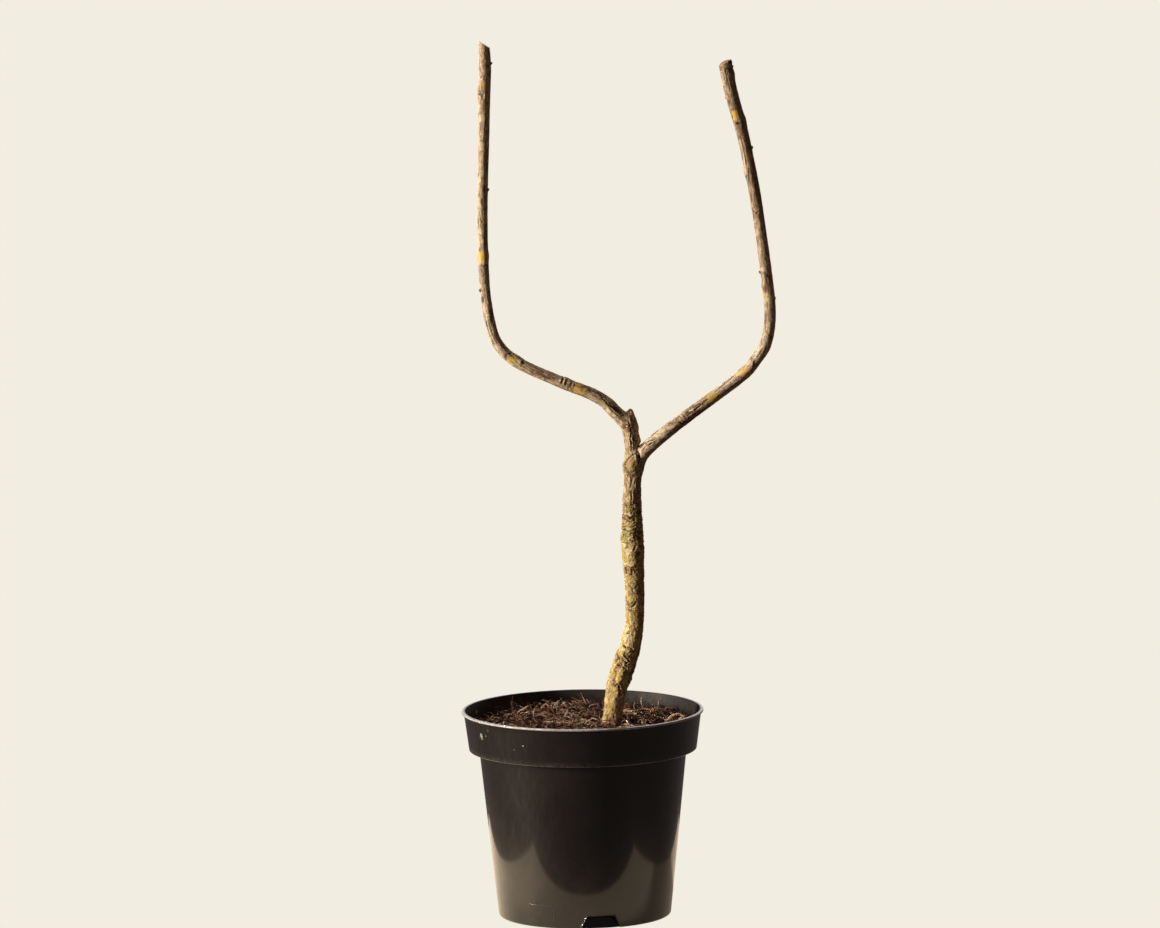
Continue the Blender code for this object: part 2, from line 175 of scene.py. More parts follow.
RIGHT_BOUGH_COURSE = (
    (62, 4, 522, 8.8),
    (76, 1, 541, 8),
    (106.2, 2, 566.6, 7.5),
    (152.8, 6, 599.7, 6.8),
    (193.4, 10, 629.8, 6.8),
    (205.8, 11, 645, 6.8),
    (216.2, 13, 661.2, 6.9),
    (221.8, 15, 696, 6.8),
    (217.2, 17, 749.5, 6.8),
    (206, 18, 834.1, 6.8),
    (194.1, 17, 898, 7),
    (182.1, 15, 944.6, 7.5),
    (174.4, 13, 979, 7.4),
    (172.2, 13, 988, 6.8),
)
LEFT_TIP_CUT = (0.60, 0, 1)
RIGHT_TIP_CUT = (-0.45, 0, 1)
RIGHT_CUT_FACE = {"rust": 0.6, "dirt": 0.25}

# Swellings: (where along X or Z, which side, height, half length, half angle)
TRUNK_KNOTS = (
    ("z", 275, RIGHT, 1.2, 5, 35),
    ("z", 302, LEFT, 1.4, 5, 45),
    ("z", 321, LEFT, 1.4, 5, 45),
    ("z", 441, LEFT, 1.2, 6, 40),
    ("z", 527, FRONT, 2.8, 8, 50),
    ("z", 553, RIGHT, 3.4, 7, 45),
)
LEFT_BOUGH_KNOTS = (
    ("x", 35, ABOVE, 0.8, 5, 60),
    ("x", -15, ABOVE, 1, 6, 60),
    ("x", -72, ABOVE, 1.4, 7, 50),
    ("z", 768, RIGHT, 1, 6, 70),
    ("z", 808, LEFT, 1, 6, 60),
    ("z", 955, LEFT, 1.4, 8, 60),
)
RIGHT_BOUGH_KNOTS = (
    ("x", 150, ABOVE, 1, 6, 60),
    ("x", 190, ABOVE, 1, 6, 60),
    ("z", 730, LEFT, 1, 6, 70),
    ("z", 862, LEFT, 1.4, 6, 50),
    ("z", 920, RIGHT, 1.2, 7, 60),
    ("z", 975, RIGHT, 1.4, 6, 60),
    ("z", 986, RIGHT, 1.6, 4, 50),
)

# Grooves round a limb: (where along X or Z, which side, half length, depth, half angle)
TRUNK_RINGS = (
    ("z", 415.5, RIGHT, 0.7, 0.6, 70),
    ("z", 459, RIGHT, 0.8, 0.8, 95),
    ("z", 466, BACK, 0.7, 0.8, 80),
    ("z", 359, BACK, 0.7, 0.7, 80),
)
LEFT_BOUGH_RINGS = (
    ("x", -5, ABOVE, 0.7, 0.5, 90),
    ("x", -9.5, FRONT, 0.6, 0.5, 80),
    ("x", -19, ABOVE, 0.7, 0.6, 100),
    ("x", -64, ABOVE, 0.7, 0.4, 90),
    ("z", 757, FRONT, 0.8, 0.5, 70),
)
RIGHT_BOUGH_RINGS = (
    ("x", 89, BACK, 0.7, 0.6, 80),
    ("x", 148, BACK, 0.6, 0.5, 90),
    ("z", 916, BACK, 0.7, 0.6, 90),
)

# Creases, and rims where the depth is negative, across the front:
# (kind, half width, depth, strength, then the (x, z) points of a path)
TRUNK_LINES = (
    ("dirt", 0.8, 1.2, 0.9, (53, 526), (55.5, 532), (60, 536), (65, 539)),
    ("dirt", 0.7, 0.5, 0.35, (53, 526), (55.5, 520), (59.5, 517), (65.5, 520)),
    ("dirt", 1, 2, 1, (66, 539.5), (67, 532), (68, 528.5)),
    ("dirt", 0.8, 1.2, 1, (68, 528.5), (70, 531.5), (70.5, 536)),
    ("pale", 0.7, -0.6, 0.9, (64, 540), (65, 534), (66.5, 529.5)),
    ("dirt", 0.6, 0.7, 0.8, (52, 524.5), (55.5, 519.5), (59, 514.5), (59.5, 507)),
    ("rust", 1, 0.6, 0.9, (62, 514), (60, 505.5), (58.5, 497), (60, 486.5)),
    ("dirt", 0.6, 0.8, 0.8, (60, 496), (59.5, 486.5), (59, 479.5)),
    ("dirt", 0.7, 0.8, 0.8, (67.5, 511), (66, 499.5), (67.5, 491)),
    ("dirt", 0.6, 0.8, 0.8, (60, 563.5), (59, 556), (60.5, 549), (60, 541.5)),
    ("pale", 0.6, -0.4, 0.7, (59, 560), (58, 554), (59, 548)),
    ("dirt", 0.7, 1, 0.9, (49.5, 464), (54.5, 461), (59, 459.5), (63.5, 462)),
    ("dirt", 0.7, 1, 0.9, (54, 467.5), (57.5, 464), (61, 465.5)),
    ("dirt", 0.6, 0.8, 0.8, (50, 453), (54.5, 455.5), (59, 453), (64.5, 456)),
    ("dirt", 0.6, 0.8, 0.8, (51.5, 451), (56, 449), (61.5, 450.5), (64.5, 451.5)),
    ("moss", 1, 0.5, 0.9, (49, 437.5), (54.5, 437), (60, 439), (64.5, 436)),
    ("dirt", 0.6, 0.7, 0.7, (49, 435.5), (54.5, 435), (60, 437)),
    ("dirt", 0.8, 1, 0.9, (64.5, 433.5), (61.5, 427)),
    ("dirt", 0.7, 1, 0.9, (56, 585), (57, 577.5), (59, 571.5)),
    ("dirt", 0.8, 1, 0.9, (49.5, 579.5), (54.5, 573.5), (59, 570.5)),
    ("dirt", 0.7, 0.8, 0.9, (50.5, 569), (54.5, 570), (57.5, 568.5)),
    ("wood", 0.9, -0.3, 1, (60.5, 587), (62, 582.5), (63, 578.5)),
    ("pale", 0.7, -0.7, 0.9, (50.5, 410), (54, 411), (58.5, 408.5), (61.5, 409.5)),
    # Dark lines below the knot at z 405, in real grooves: painted shadow
    ("dirt", 1, 2.2, 1, (52, 405), (53, 399.5)),
    ("dirt", 0.7, 1, 0.9, (59, 403.5), (59.5, 398), (57, 398.5)),
    ("dirt", 0.7, 1, 0.9, (53.5, 366.5), (56.5, 360), (60, 361), (63.5, 365.5)),
    ("dirt", 0.5, 0.6, 0.7, (55.5, 367.5), (57, 363.5), (59.5, 366)),
    ("dirt", 0.6, 0.7, 0.8, (51.5, 363), (55, 357.5), (59, 356.5)),
    ("pale", 0.6, -0.5, 0.6, (52, 365.5), (55, 359), (57.5, 358)),
    ("dirt", 0.8, 1, 1, (53, 330), (55, 329.5)),
    ("dirt", 0.8, 1.2, 1, (49, 315), (50.5, 313), (54.5, 313.5), (58.5, 312)),
    ("dirt", 0.8, 1, 0.9, (40, 306), (42.5, 301.5), (39.5, 297.5)),
    ("dirt", 0.6, 0.7, 0.6, (45.5, 302.5), (48.5, 299), (52.5, 296)),
    ("dirt", 0.6, 0.7, 0.6, (47, 306.5), (51.5, 303), (54, 299)),
    ("dirt", 0.6, 0.7, 0.7, (50, 309), (49, 305), (51.5, 301.5)),
    ("dirt", 0.6, 0.6, 0.7, (56.5, 305), (53.5, 301), (55, 297)),
    ("rust", 0.8, 0.5, 0.8, (44, 298), (46.5, 294.5), (44.5, 290)),
    ("pale", 0.6, -0.5, 0.6, (46.5, 304.5), (50, 301), (53, 297.5)),
    ("dirt", 0.7, 1, 0.8, (41.5, 293.5), (47, 292), (51, 289)),
    ("rust", 0.9, 0.6, 0.9, (39.5, 282.5), (37.5, 276), (39.5, 272)),
    ("dirt", 0.7, 0.9, 0.8, (49, 285.5), (49, 278.5), (45, 273.5)),
    ("dirt", 0.9, 1.4, 1, (37, 271.5), (38.5, 269.5), (41, 272)),
    ("rust", 0.9, 0.6, 0.9, (33, 273), (35.5, 271.5)),
    ("dirt", 0.9, 1.2, 0.9, (42.5, 270), (43.5, 263), (42.5, 257.5)),
    ("rust", 1.2, 0.4, 0.9, (26, 230), (30, 227), (34.5, 230), (38, 228.5)),
)
LEFT_BOUGH_LINES = (
    ("dirt", 0.8, 0.7, 0.9, (32, 598), (42, 590.5), (49, 585)),
    ("dirt", 0.6, 0.6, 0.7, (34.5, 594), (40.5, 586.5), (46, 583)),
    ("pale", 0.7, -0.4, 0.8, (31.5, 589), (35, 592.5)),
    ("rust", 0.9, 0.4, 0.8, (-65, 644), (-49.5, 635.5), (-32.5, 626.5)),
    ("dirt", 0.6, 0.4, 0.6, (-56, 636), (-40, 629), (-26, 624)),
    ("dirt", 0.7, 0.5, 0.7, (11.5, 614.5), (23, 608.5), (32.5, 598.5)),
    ("dirt", 0.7, 0.8, 0.9, (-17, 626.5), (-19, 620.5)),
    ("pale", 0.6, -0.5, 0.8, (-15.5, 626), (-17, 620)),
    ("dirt", 0.6, 0.7, 0.8, (-12.5, 624.5), (-15, 618)),
    ("dirt", 0.6, 0.7, 0.8, (-6, 622.5), (-8.5, 616.5)),
    ("dirt", 0.7, 0.6, 0.8, (-84, 650.5), (-81, 654.5), (-76.5, 655)),
    ("dirt", 0.7, 0.5, 0.7, (-105.5, 694), (-102, 678.5), (-95.5, 665)),
    ("pale", 0.6, -0.3, 0.7, (-104, 696), (-100.5, 679), (-94.5, 667)),
    ("dirt", 0.8, 0.6, 0.8, (-110, 963), (-108, 956), (-105.5, 949.5), (-105, 955.5)),
    ("dirt", 0.7, 0.6, 0.8, (-109.5, 902), (-106, 901), (-103.5, 900)),
    ("pale", 0.6, -0.3, 0.7, (-104.5, 911.5), (-106.5, 905), (-109.5, 903)),
    ("dirt", 0.6, 0.4, 0.6, (-107.5, 982.5), (-105, 978.5), (-107, 974.5)),
    ("dirt", 0.6, 0.5, 0.7, (-110, 811), (-108, 807.5), (-106, 809)),
    ("dirt", 0.7, 0.6, 0.8, (-109.5, 758.5), (-106.5, 756), (-104, 758)),
)
RIGHT_BOUGH_LINES = (
    ("dirt", 0.7, 1, 0.9, (77.5, 550.5), (81.5, 553.5), (86.5, 554.5)),
    ("dirt", 0.6, 0.8, 0.9, (77.5, 550.5), (80, 548), (84.5, 551.5)),
    ("pale", 0.6, -0.4, 0.8, (79.5, 550.5), (83, 552), (86, 553)),
    ("dirt", 0.7, 0.9, 0.9, (70.5, 545), (74.5, 549.5), (77, 551)),
    ("pale", 0.8, -0.4, 0.8, (71.5, 542), (76, 547), (80, 546.5)),
    ("dirt", 0.7, 0.9, 0.9, (115.5, 575), (119.5, 572), (122.5, 575)),
    ("dirt", 0.7, 0.7, 0.8, (119.5, 583.5), (123.5, 579)),
    ("pale", 0.6, -0.4, 0.8, (118, 582), (121.5, 577.5)),
    ("dirt", 0.7, 0.6, 0.8, (123.5, 585.5), (131, 590.5), (137, 593.5)),
    ("pale", 0.6, -0.4, 0.8, (131, 590), (132.5, 586.5)),
    ("dirt", 0.7, 0.6, 0.8, (149.5, 600.5), (143.5, 596), (134, 588), (126, 582.5)),
    ("dirt", 0.7, 0.6, 0.8, (159, 609.5), (170, 619), (178.5, 625.5)),
    ("rust", 0.8, -0.8, 0.9, (197.5, 647.5), (202, 644.5), (200.5, 639)),
    ("dirt", 0.6, 0.6, 0.7, (196, 647.5), (200.5, 644), (199, 639)),
    ("dirt", 0.6, 0.4, 0.7, (206.5, 647.5), (210.5, 653.5), (213.5, 658)),
    ("pale", 0.7, -0.3, 0.7, (205, 649), (209, 655), (212.5, 661)),
    ("dirt", 0.6, 0.4, 0.7, (216, 676.5), (217, 686), (216.5, 696)),
    ("dirt", 0.7, 0.6, 0.8, (214.5, 744.5), (219, 743.5), (221.5, 738.5)),
    ("pale", 0.6, -0.5, 0.9, (204.5, 818.5), (207, 816), (210, 817.5)),
    ("dirt", 0.6, 0.5, 0.8, (204, 817), (207, 814), (210, 816)),
    ("dirt", 0.7, 0.6, 0.8, (181, 920.5), (186.5, 917.5), (194, 920)),
    ("dirt", 0.7, 0.5, 0.7, (190, 903), (194, 887.5), (196.5, 870)),
    ("pale", 0.7, -0.3, 0.8, (193, 885), (195, 870), (196.5, 860)),
    ("dirt", 0.6, 0.4, 0.6, (173, 980), (175.5, 968.5), (178.5, 957)),
)

# Browner stretches: (where along X or Z, which side or all round, half length, amount).
# Rows for the left side are painted shade that darkens the key-lit side; the trunk's row at z 235
# is painted shade on the shaded right side of its foot.
TRUNK_SHADES = (
    ("z", 380, FRONT, 45, 0.4),
    ("z", 420, RIGHT, 50, 0.3),
    # Painted shade on the key-lit left side, in this row and the next two
    ("z", 495, LEFT, 45, 0.85),
    ("z", 560, LEFT, 30, 0.45),
    ("z", 265, LEFT, 45, 0.4),
    # Painted shade on the shaded right side of the trunk's foot
    ("z", 235, RIGHT, 22, 1),
)
LEFT_BOUGH_SHADES = (
    ("x", -15, ALL_ROUND, 50, 0.45),
    ("x", -60, ALL_ROUND, 25, 0.3),
    ("x", 35, ABOVE, 25, 0.7),
    ("z", 745, FRONT, 25, 0.3),
    ("z", 875, FRONT, 18, 0.45),
    # Painted shade on the key-lit left side
    ("z", 960, LEFT, 60, 0.22),
)
RIGHT_BOUGH_SHADES = (
    ("x", 130, FRONT, 35, 0.75),
    ("x", 185, FRONT, 20, 0.35),
    # Painted shade on the key-lit left side, in this row and the next
    ("z", 740, LEFT, 22, 0.3),
    ("z", 800, LEFT, 110, 0.45),
    ("z", 890, ALL_ROUND, 95, 0.7),
)

# Marks on the bark: (kind, centre x, y, z, half sizes x, y, z, rise, strength)
TRUNK_MARKS = (
    ("ochre", 60.5, -8.5, 527, 6.2, 7, 7, 1.4, 0.35),
    ("rust", 60.5, -8.5, 527, 6.2, 7, 7, 0, 0.28),
    # The wide ochre and pale patches in the next six rows, all but the rust, are painted light on
    # the trunk's low front
    ("ochre", 40, -16, 252, 10, 9, 22, 0, 0.3),
    ("pale", 44, -16, 248, 8, 9, 20, 0.2, 0.35),
    ("rust", 30, -14, 244, 5, 9, 12, 0, 0.22),
    ("ochre", 47, -16, 295, 9, 9, 18, 0, 0.25),
    ("pale", 50, -16, 283, 6, 9, 14, 0.2, 0.35),
    ("pale", 56, -14, 325, 5, 9, 10, 0, 0.3),
    ("dirt", 64, -7, 490, 1.2, 5, 6, -0.5, 0.7),
    ("dirt", 56, -6, 513, 2.6, 5, 0.9, -0.4, 0.8),
    ("pale", 49, 0, 494.6, 3.5, 6, 6, 0.9, 0.5),
    ("pale", 52, -5, 484, 4, 6, 3, 0.2, 0.5),
    ("moss", 58, -8, 477, 3.4, 8, 5, 0.3, 0.9),
    ("dirt", 60, -8, 464, 4, 7, 2, -0.7, 0.9),
    ("pale", 54, -8, 468, 4, 6, 2.6, 0.4, 0.6),
    ("moss", 60, -8, 452, 4, 9, 3.4, 0.3, 0.8),
    ("pale", 54.5, -8, 449, 4, 6, 4, 0.3, 0.5),
    ("moss", 56, -8, 439.5, 8, 9, 2.2, 0.3, 0.9),
    ("dirt", 64, -9, 442, 4, 7, 5, -0.6, 0.8),
    ("pale", 56, -8, 427, 5, 8, 7, 0.4, 0.5),
    ("moss", 59, -9, 416, 3.4, 8, 3, 0.2, 0.7),
    ("dirt", 66, -8, 423, 1.6, 6, 3, -0.7, 0.9),
    ("rust", 57, -9, 405.5, 4.4, 6, 4.2, 1.6, 0.8),
    ("dirt", 52.5, -7, 407, 0.8, 6, 2.4, -0.8, 0.9),
    ("moss", 57.1, -9, 367, 4, 6, 3.6, 1.4, 0.8),
    ("pale", 57.1, -9, 366.5, 1.4, 6, 1.2, 0.4, 0.5),
    ("moss", 59, -9, 348, 3, 6, 5, 0.2, 0.6),
    ("pale", 53, -8, 323, 4, 6, 5, 0.6, 0.45),
    ("ochre", 54, -8, 318, 3, 6, 2.6, 0.2, 0.5),
    ("dirt", 50.3, -9, 313.5, 1.6, 6, 1.3, -1.3, 1),
    ("moss", 43, -7, 306, 2, 7, 4, -0.2, 0.7),
    ("dirt", 45, -9, 300, 1.2, 7, 2.6, -0.9, 1),
    ("rust", 52, -10, 302, 7, 7, 5, -0.2, 0.75),
    ("dirt", 50, -11, 295, 2, 6, 1, -0.8, 1),
    ("dirt", 54.5, -11, 299, 1, 6, 1.8, -0.9, 1),
    ("rust", 45.5, -10, 290, 5, 7, 4, -0.3, 0.8),
    ("dirt", 44, -10, 293, 1.6, 6, 0.8, -0.7, 1),
    ("dirt", 47.5, -11, 289, 1, 6, 1.4, -0.8, 0.9),
    ("ochre", 44, -12, 280, 4, 6, 7.5, 0.6, 0.85),
    ("moss", 39.5, -10, 283, 1.6, 6, 7, 0, 0.8),
    ("rust", 42, -12, 269, 5, 6, 1.8, -0.3, 0.9),
    ("dirt", 51, -10, 287, 1.2, 6, 7, -0.7, 0.8),
    ("moss", 44, -13, 260, 2.4, 5, 6, 0.4, 0.7),
    ("rust", 56.5, -4, 275.3, 1.6, 4, 1.6, 1.2, 0.9),
    ("ochre", 34, -16, 242, 4, 6, 7, 0.2, 0.35),
    ("rust", 31, -19, 229, 5, 12, 4, 0.4, 0.9),
    ("dirt", 36, -19, 233, 1.4, 12, 2, -0.5, 0.9),
    ("rust", 39, -19, 228, 4, 12, 3, 0.4, 0.9),
    ("dirt", 38.5, 8, 260, 3, 6, 3, -0.8, 0.9),
    ("moss", 61, 13, 350, 8, 8, 6, 0.3, 0.8),
    ("rust", 60, 14, 460, 6, 6, 4, 1, 0.8),
    ("dirt", 60, 15, 390, 2, 5, 6, -0.8, 0.9),
    ("rust", 57.5, -3, 569, 5, 6, 6, 0.4, 0.9),
    ("pale", 56, -3, 571.5, 0.8, 5, 1.2, 0.4, 0.9),
    ("rust", 59, -2, 583, 6, 8, 7, 0, 0.9),
    ("dirt", 63, -3, 556, 1.2, 5, 5, -0.7, 0.8),
    ("pale", 60, -4, 557, 1, 5, 3, 0.3, 0.8),
)
LEFT_BOUGH_MARKS = (
    ("dirt", 52, -3, 577, 3.4, 6, 3, -0.4, 0.55),
    ("rust", 54, -3, 572, 5, 8, 6, 0.3, 0.9),
    ("pale", 54.5, -3, 575, 1.2, 6, 1, 0.4, 0.9),
    ("pale", 33.7, -2, 588.2, 3, 5, 2.4, 0.4, 0.9),
    ("moss", 31.5, -3, 595, 3, 5, 3, 0.2, 0.8),
    ("ochre", 1, 1, 614, 8.5, 7, 7, 0.3, 0.85),
    ("rust", 4, 1, 612, 2, 6, 2, -0.2, 0.6),
    ("dirt", 8, 0, 618, 5, 6, 1.8, -0.2, 0.7),
    ("rust", -48, 4, 631, 12, 6, 2.4, 0, 0.7),
    ("pale", -40, 4, 626, 1.2, 6, 2, 0.4, 0.7),
    ("ochre", -76, 6, 647, 7, 6, 6.5, 0.2, 0.85),
    ("wood", -67.2, 4, 646.2, 2.8, 5, 3, 0.4, 1),
    ("dirt", -62.2, 5, 645, 1.2, 5, 2.6, -0.3, 0.6),
    ("rust", -83, 8, 651, 1.6, 9, 7, -0.2, 0.9),
    ("dirt", -110, 11, 717, 2, 6, 5, -0.3, 0.8),
    ("dirt", -111.5, 14, 728, 1.4, 5, 3, -0.2, 0.9),
    ("dirt", -99, 11, 700, 2, 5, 8, -0.2, 0.5),
    ("ochre", -110, 8, 766.5, 8, 8, 7.5, 0.1, 0.85),
    ("pale", -103, 12, 759, 1.2, 4, 1.4, 0.5, 0.9),
    ("dirt", -108.5, 13, 807.5, 2.2, 5, 1.2, -0.5, 0.9),
    ("rust", -104, 13, 790, 2, 6, 14, 0, 0.5),
    ("rust", -105, 12, 900, 3, 6, 6, -0.1, 0.5),
    ("rust", -104, 11, 944, 2.6, 6, 7, -0.2, 0.7),
    ("dirt", -108.5, 12, 955, 3, 6, 1, -0.3, 0.9),
    ("ochre", -105, 11, 964, 5, 6, 6, 0, 0.45),
    ("dirt", -99, 11, 988, 1.4, 6, 1.2, -0.3, 0.8),
)
RIGHT_BOUGH_MARKS = (
    ("dirt", 69, -4, 535, 1.6, 6, 6, -1.2, 1),
    ("pale", 71.5, -4, 540, 1.4, 6, 6, 0.4, 0.9),
    ("pale", 77, -6, 547, 4, 5, 4, 0.2, 0.6),
    ("rust", 78, -6, 539.5, 4, 5, 2.4, -0.2, 0.7),
    ("pale", 90, -6, 559, 5, 5, 1.8, 0.2, 0.7),
    ("pale", 105, -6, 569, 6, 5, 2.4, 0.2, 0.6),
    ("pale", 116.5, -5, 577.6, 2.6, 5, 1.8, 0.4, 0.8),
    ("dirt", 125, -3, 586, 2.6, 5, 1, -0.5, 0.9),
    ("pale", 130, -3, 588, 4, 5, 1, 0.3, 0.7),
    ("rust", 136, -3, 586, 10, 5, 2.2, -0.1, 0.6),
    ("dirt", 140, -3, 595, 5, 5, 1, -0.3, 0.8),
    ("ochre", 155, -1, 603.5, 8, 7, 7.5, 0.2, 0.85),
    ("ochre", 189.8, 3, 631, 8, 7, 7.5, 0.2, 0.6),
    ("pale", 200, 4, 640, 1.2, 7, 4, 0.6, 0.7),
    ("pale", 208, 6, 654, 2, 6, 6, 0.2, 0.6),
    ("dirt", 208, 9, 666, 0.8, 6, 12, -0.3, 0.6),
    ("dirt", 213, 9, 690, 0.8, 6, 12, -0.3, 0.6),
    ("rust", 217, 9, 726, 4.5, 6, 5, 0.1, 0.8),
    ("ochre", 216, 9, 720, 4, 6, 3, 0, 0.4),
    ("pale", 212, 10, 748, 3, 6, 3, 0.2, 0.5),
    ("rust", 204, 11, 812, 3.6, 6, 6, 0, 0.7),
    ("pale", 195, 9, 870, 0.8, 6, 20, 0.2, 0.6),
    ("dirt", 198, 9, 856, 0.8, 6, 14, -0.3, 0.7),
    ("ochre", 184.5, 8, 927.5, 6, 6, 7, 0.1, 0.95),
    ("rust", 182, 8, 934, 2.4, 6, 1.6, 0.2, 0.8),
    ("dirt", 187.1, 8, 917.5, 2.2, 5, 1.6, -0.9, 1),
    ("rust", 169, 11, 983, 6, 12, 3.4, 0, 0.8),
    ("dirt", 177.8, 12, 988, 3.4, 12, 3.4, 0.4, 0.95),
)

# Buds and cut spurs: (where along X or Z, which side, length, base radius, lean)
LEFT_BOUGH_BUDS = (
    ("z", 727, LEFT, 1.4, 2.2, 0.9),
    ("z", 842.5, RIGHT, 1.4, 2.2, 0.9),
    ("z", 990.5, RIGHT, 2, 2, 0.3),
)
RIGHT_BOUGH_BUDS = (
    ("z", 714.5, RIGHT, 0.8, 2.6, 0.6),
    ("z", 745, LEFT, 1.8, 2.1, 0.8),
    ("z", 887, RIGHT, 1.4, 2.4, 0.8),
    ("z", 949, LEFT, 1, 2.2, 0.6),
    ("z", 981, RIGHT, 2, 2, 0.9),
)

# Slivers on the soil: (path, half width, half thickness, tone)
DEBRIS = (
    (((-46, -12, 227.5), (-28, -13, 228.5), (-10, -14, 227.5)), 1.3, 0.6, 1.0),
    (((-40, -19, 227.5), (-14, -22, 228)), 1.0, 0.5, 0.9),
    (((-8, -28, 227), (0, -24, 228.5)), 1.0, 0.6, 1.0),
    (((5, -30, 227), (10, -26, 227.5)), 1.0, 0.6, 0.9),
    (
        ((96, -14, 225.5), (100, -4, 228), (105, 4, 230.5), (111, 8, 231), (119, 4, 228)),
        2.6,
        1.8,
        1.0,
    ),
    (((108, -6, 226), (114, -8, 229), (120, -2, 227)), 2.0, 1.4, 0.9),
    (((82, 16, 229), (90, 6, 228), (96, -4, 227)), 0.6, 0.5, 1.0),
    (((-60, 30, 226), (-48, 36, 228), (-40, 30, 226)), 1.6, 0.7, 0.7),
    (((60, 50, 228), (72, 56, 230), (84, 54, 228)), 1.4, 0.7, 0.7),
    (((20, -80, 223.5), (34, -86, 225), (46, -80, 223)), 1.8, 0.8, 0.5),
    (((-80, -50, 223), (-70, -62, 225)), 1.6, 0.8, 0.7),
)

# Pale rubs on the pot: (centre, reach, amount)
SCUFFS = (
    ((-119.4, -70, 220.7), 6.2, 1.4),
    ((-118.3, -72, 217.5), 3.4, 1.8),
    ((-108.9, -81.7, 229.9), 1.2, 1.6),
    ((-115.8, -72.9, 235.5), 1, 1.6),
    ((-111.3, -76.9, 223.3), 1.2, 1.6),
    ((-68.7, -115.8, 217.8), 1, 1.6),
    ((-79.1, -108, 212), 1, 1.6),
)

# Stage and camera
KEY_AT = (-4.06, -1.04, 0.95)
BOARD_LOW, BOARD_HIGH = (-0.305, -0.200), (0.290, 0.500)
BOARD_STRENGTH = 0.82
SHADE_RADIUS, SHADE_SIDES = 0.0985, 96
BOARD_HEIGHT, SHADE_HEIGHT = 0.0004, 0.0008
WINDOW_TOWARDS = (0, 1, 0.15)
WINDOW_STRENGTH = 1.1
CAMERA_AT = (0.00072, -11.87297, 2.26809)
CAMERA_DOWN = 0.14512082
CAMERA_ROLL = radians(0.7276)
CAMERA_LENS = 323.06
SENSOR_WIDTH = 36
PALE_CREAM = (0.888, 0.847, 0.753)

# Bark colours
OLD_LIGHT = (0.86, 0.64, 0.285)
OLD_MID = (0.47, 0.325, 0.125)
OLD_DARK = (0.085, 0.048, 0.024)
YOUNG_LIGHT = (0.76, 0.62, 0.43)
YOUNG_MID = (0.48, 0.360, 0.225)
YOUNG_DARK = (0.12, 0.068, 0.042)
OLD_GREEN = (0.36, 0.30, 0.075)
OLD_PAINTED_HIGHLIGHT = (0.95, 0.77, 0.43)
YOUNG_RED = (0.27, 0.125, 0.075)
YOUNG_PAINTED_GLINT = (0.92, 0.83, 0.70)
YOUNG_SALT = (0.95, 0.84, 0.68)
SHADE_BROWN = (0.44, 0.345, 0.27)

# Colours of the marks on the bark, each laid over the ones before it
MARK_COLOURS = {
    "lenticel": (0.90, 0.78, 0.58),
    # Ochre, also laid as painted light on the trunk's low front
    "ochre": (0.72, 0.47, 0.10),
    "moss": (0.38, 0.33, 0.07),
    "rust": (0.22, 0.10, 0.05),
    # Pale, also laid as painted light on the trunk's low front
    "pale": (0.84, 0.68, 0.46),
    "wood": (0.88, 0.76, 0.60),
    # Dirt, also laid as painted shadow below the trunk's knot
    "hollow": (0.050, 0.028, 0.015),
    "dirt": (0.028, 0.015, 0.009),
}
MASKS = ("young", "brown", *MARK_COLOURS)

# Dark, middling and light tones
SOIL_COLOURS = ((0.010, 0.005, 0.004), (0.070, 0.033, 0.024), (0.50, 0.30, 0.19))
FIBRE_COLOURS = ((0.020, 0.009, 0.008), (0.31, 0.148, 0.092), (1.0, 0.79, 0.58))
CHIP_COLOURS = ((0.034, 0.015, 0.012), (0.33, 0.155, 0.097), (1.0, 0.74, 0.50))
SCUFF_COLOUR = (0.82, 0.77, 0.72)

X_AXIS, Y_AXIS, Z_AXIS = np.eye(3)
RNG = np.random.default_rng(508)


# ---------------------------------------------------------------- noise and small maths


def lattice(corner, seed):
    """A repeatable value from 0 to 1 for each whole-number point."""
    mixed = corner[..., 0] * 73856093 ^ corner[..., 1] * 19349663 ^ corner[..., 2] * 83492791
    mixed = (mixed ^ (seed * 2654435761)) & 0xFFFFFFFF
    mixed = ((mixed ^ (mixed >> 15)) * 2246822519) & 0xFFFFFFFF
    mixed = ((mixed ^ (mixed >> 13)) * 3266489917) & 0xFFFFFFFF
    return ((mixed ^ (mixed >> 16)) & 0xFFFFFF) / 0xFFFFFF


def noise(points, size, seed):
    """Smooth noise from -1 to 1, its features about size across. Size may differ by axis."""
    scaled = points / np.asarray(size, float)
    corner = np.floor(scaled).astype(np.int64)
    part = scaled - corner
    part = part * part * (3 - 2 * part)
    total = 0
    for step in np.ndindex(2, 2, 2):
        weight = np.prod(np.where(step, part, 1 - part), axis=-1)
        total = total + weight * lattice(corner + step, seed)
    return 2 * total - 1


def fractal(points, size, seed, octaves=3):
    """Noise from -1 to 1 with ever finer noise added to it."""
    total, weight, reach = 0, 1, 0
    for octave in range(octaves):
        total = total + weight * noise(points, np.asarray(size) / 2**octave, seed + octave)
        reach += weight
        weight /= 2
    return total / reach


def smoothstep(low, high, value):
    part = np.clip((value - low) / (high - low), 0, 1)
    return part * part * (3 - 2 * part)


def unit(vector):
    return vector / np.linalg.norm(vector, axis=-1, keepdims=True)


# ---------------------------------------------------------------- meshes


def link_object(name, data):
    obj = bpy.data.objects.new(name, data)
    bpy.context.scene.collection.objects.link(obj)
    return obj


def clean_object(name, mesh, material, smooth=True):
    obj = link_object(name, mesh)
    mesh.materials.append(material)
    if smooth:
        mesh.shade_smooth()
    return obj


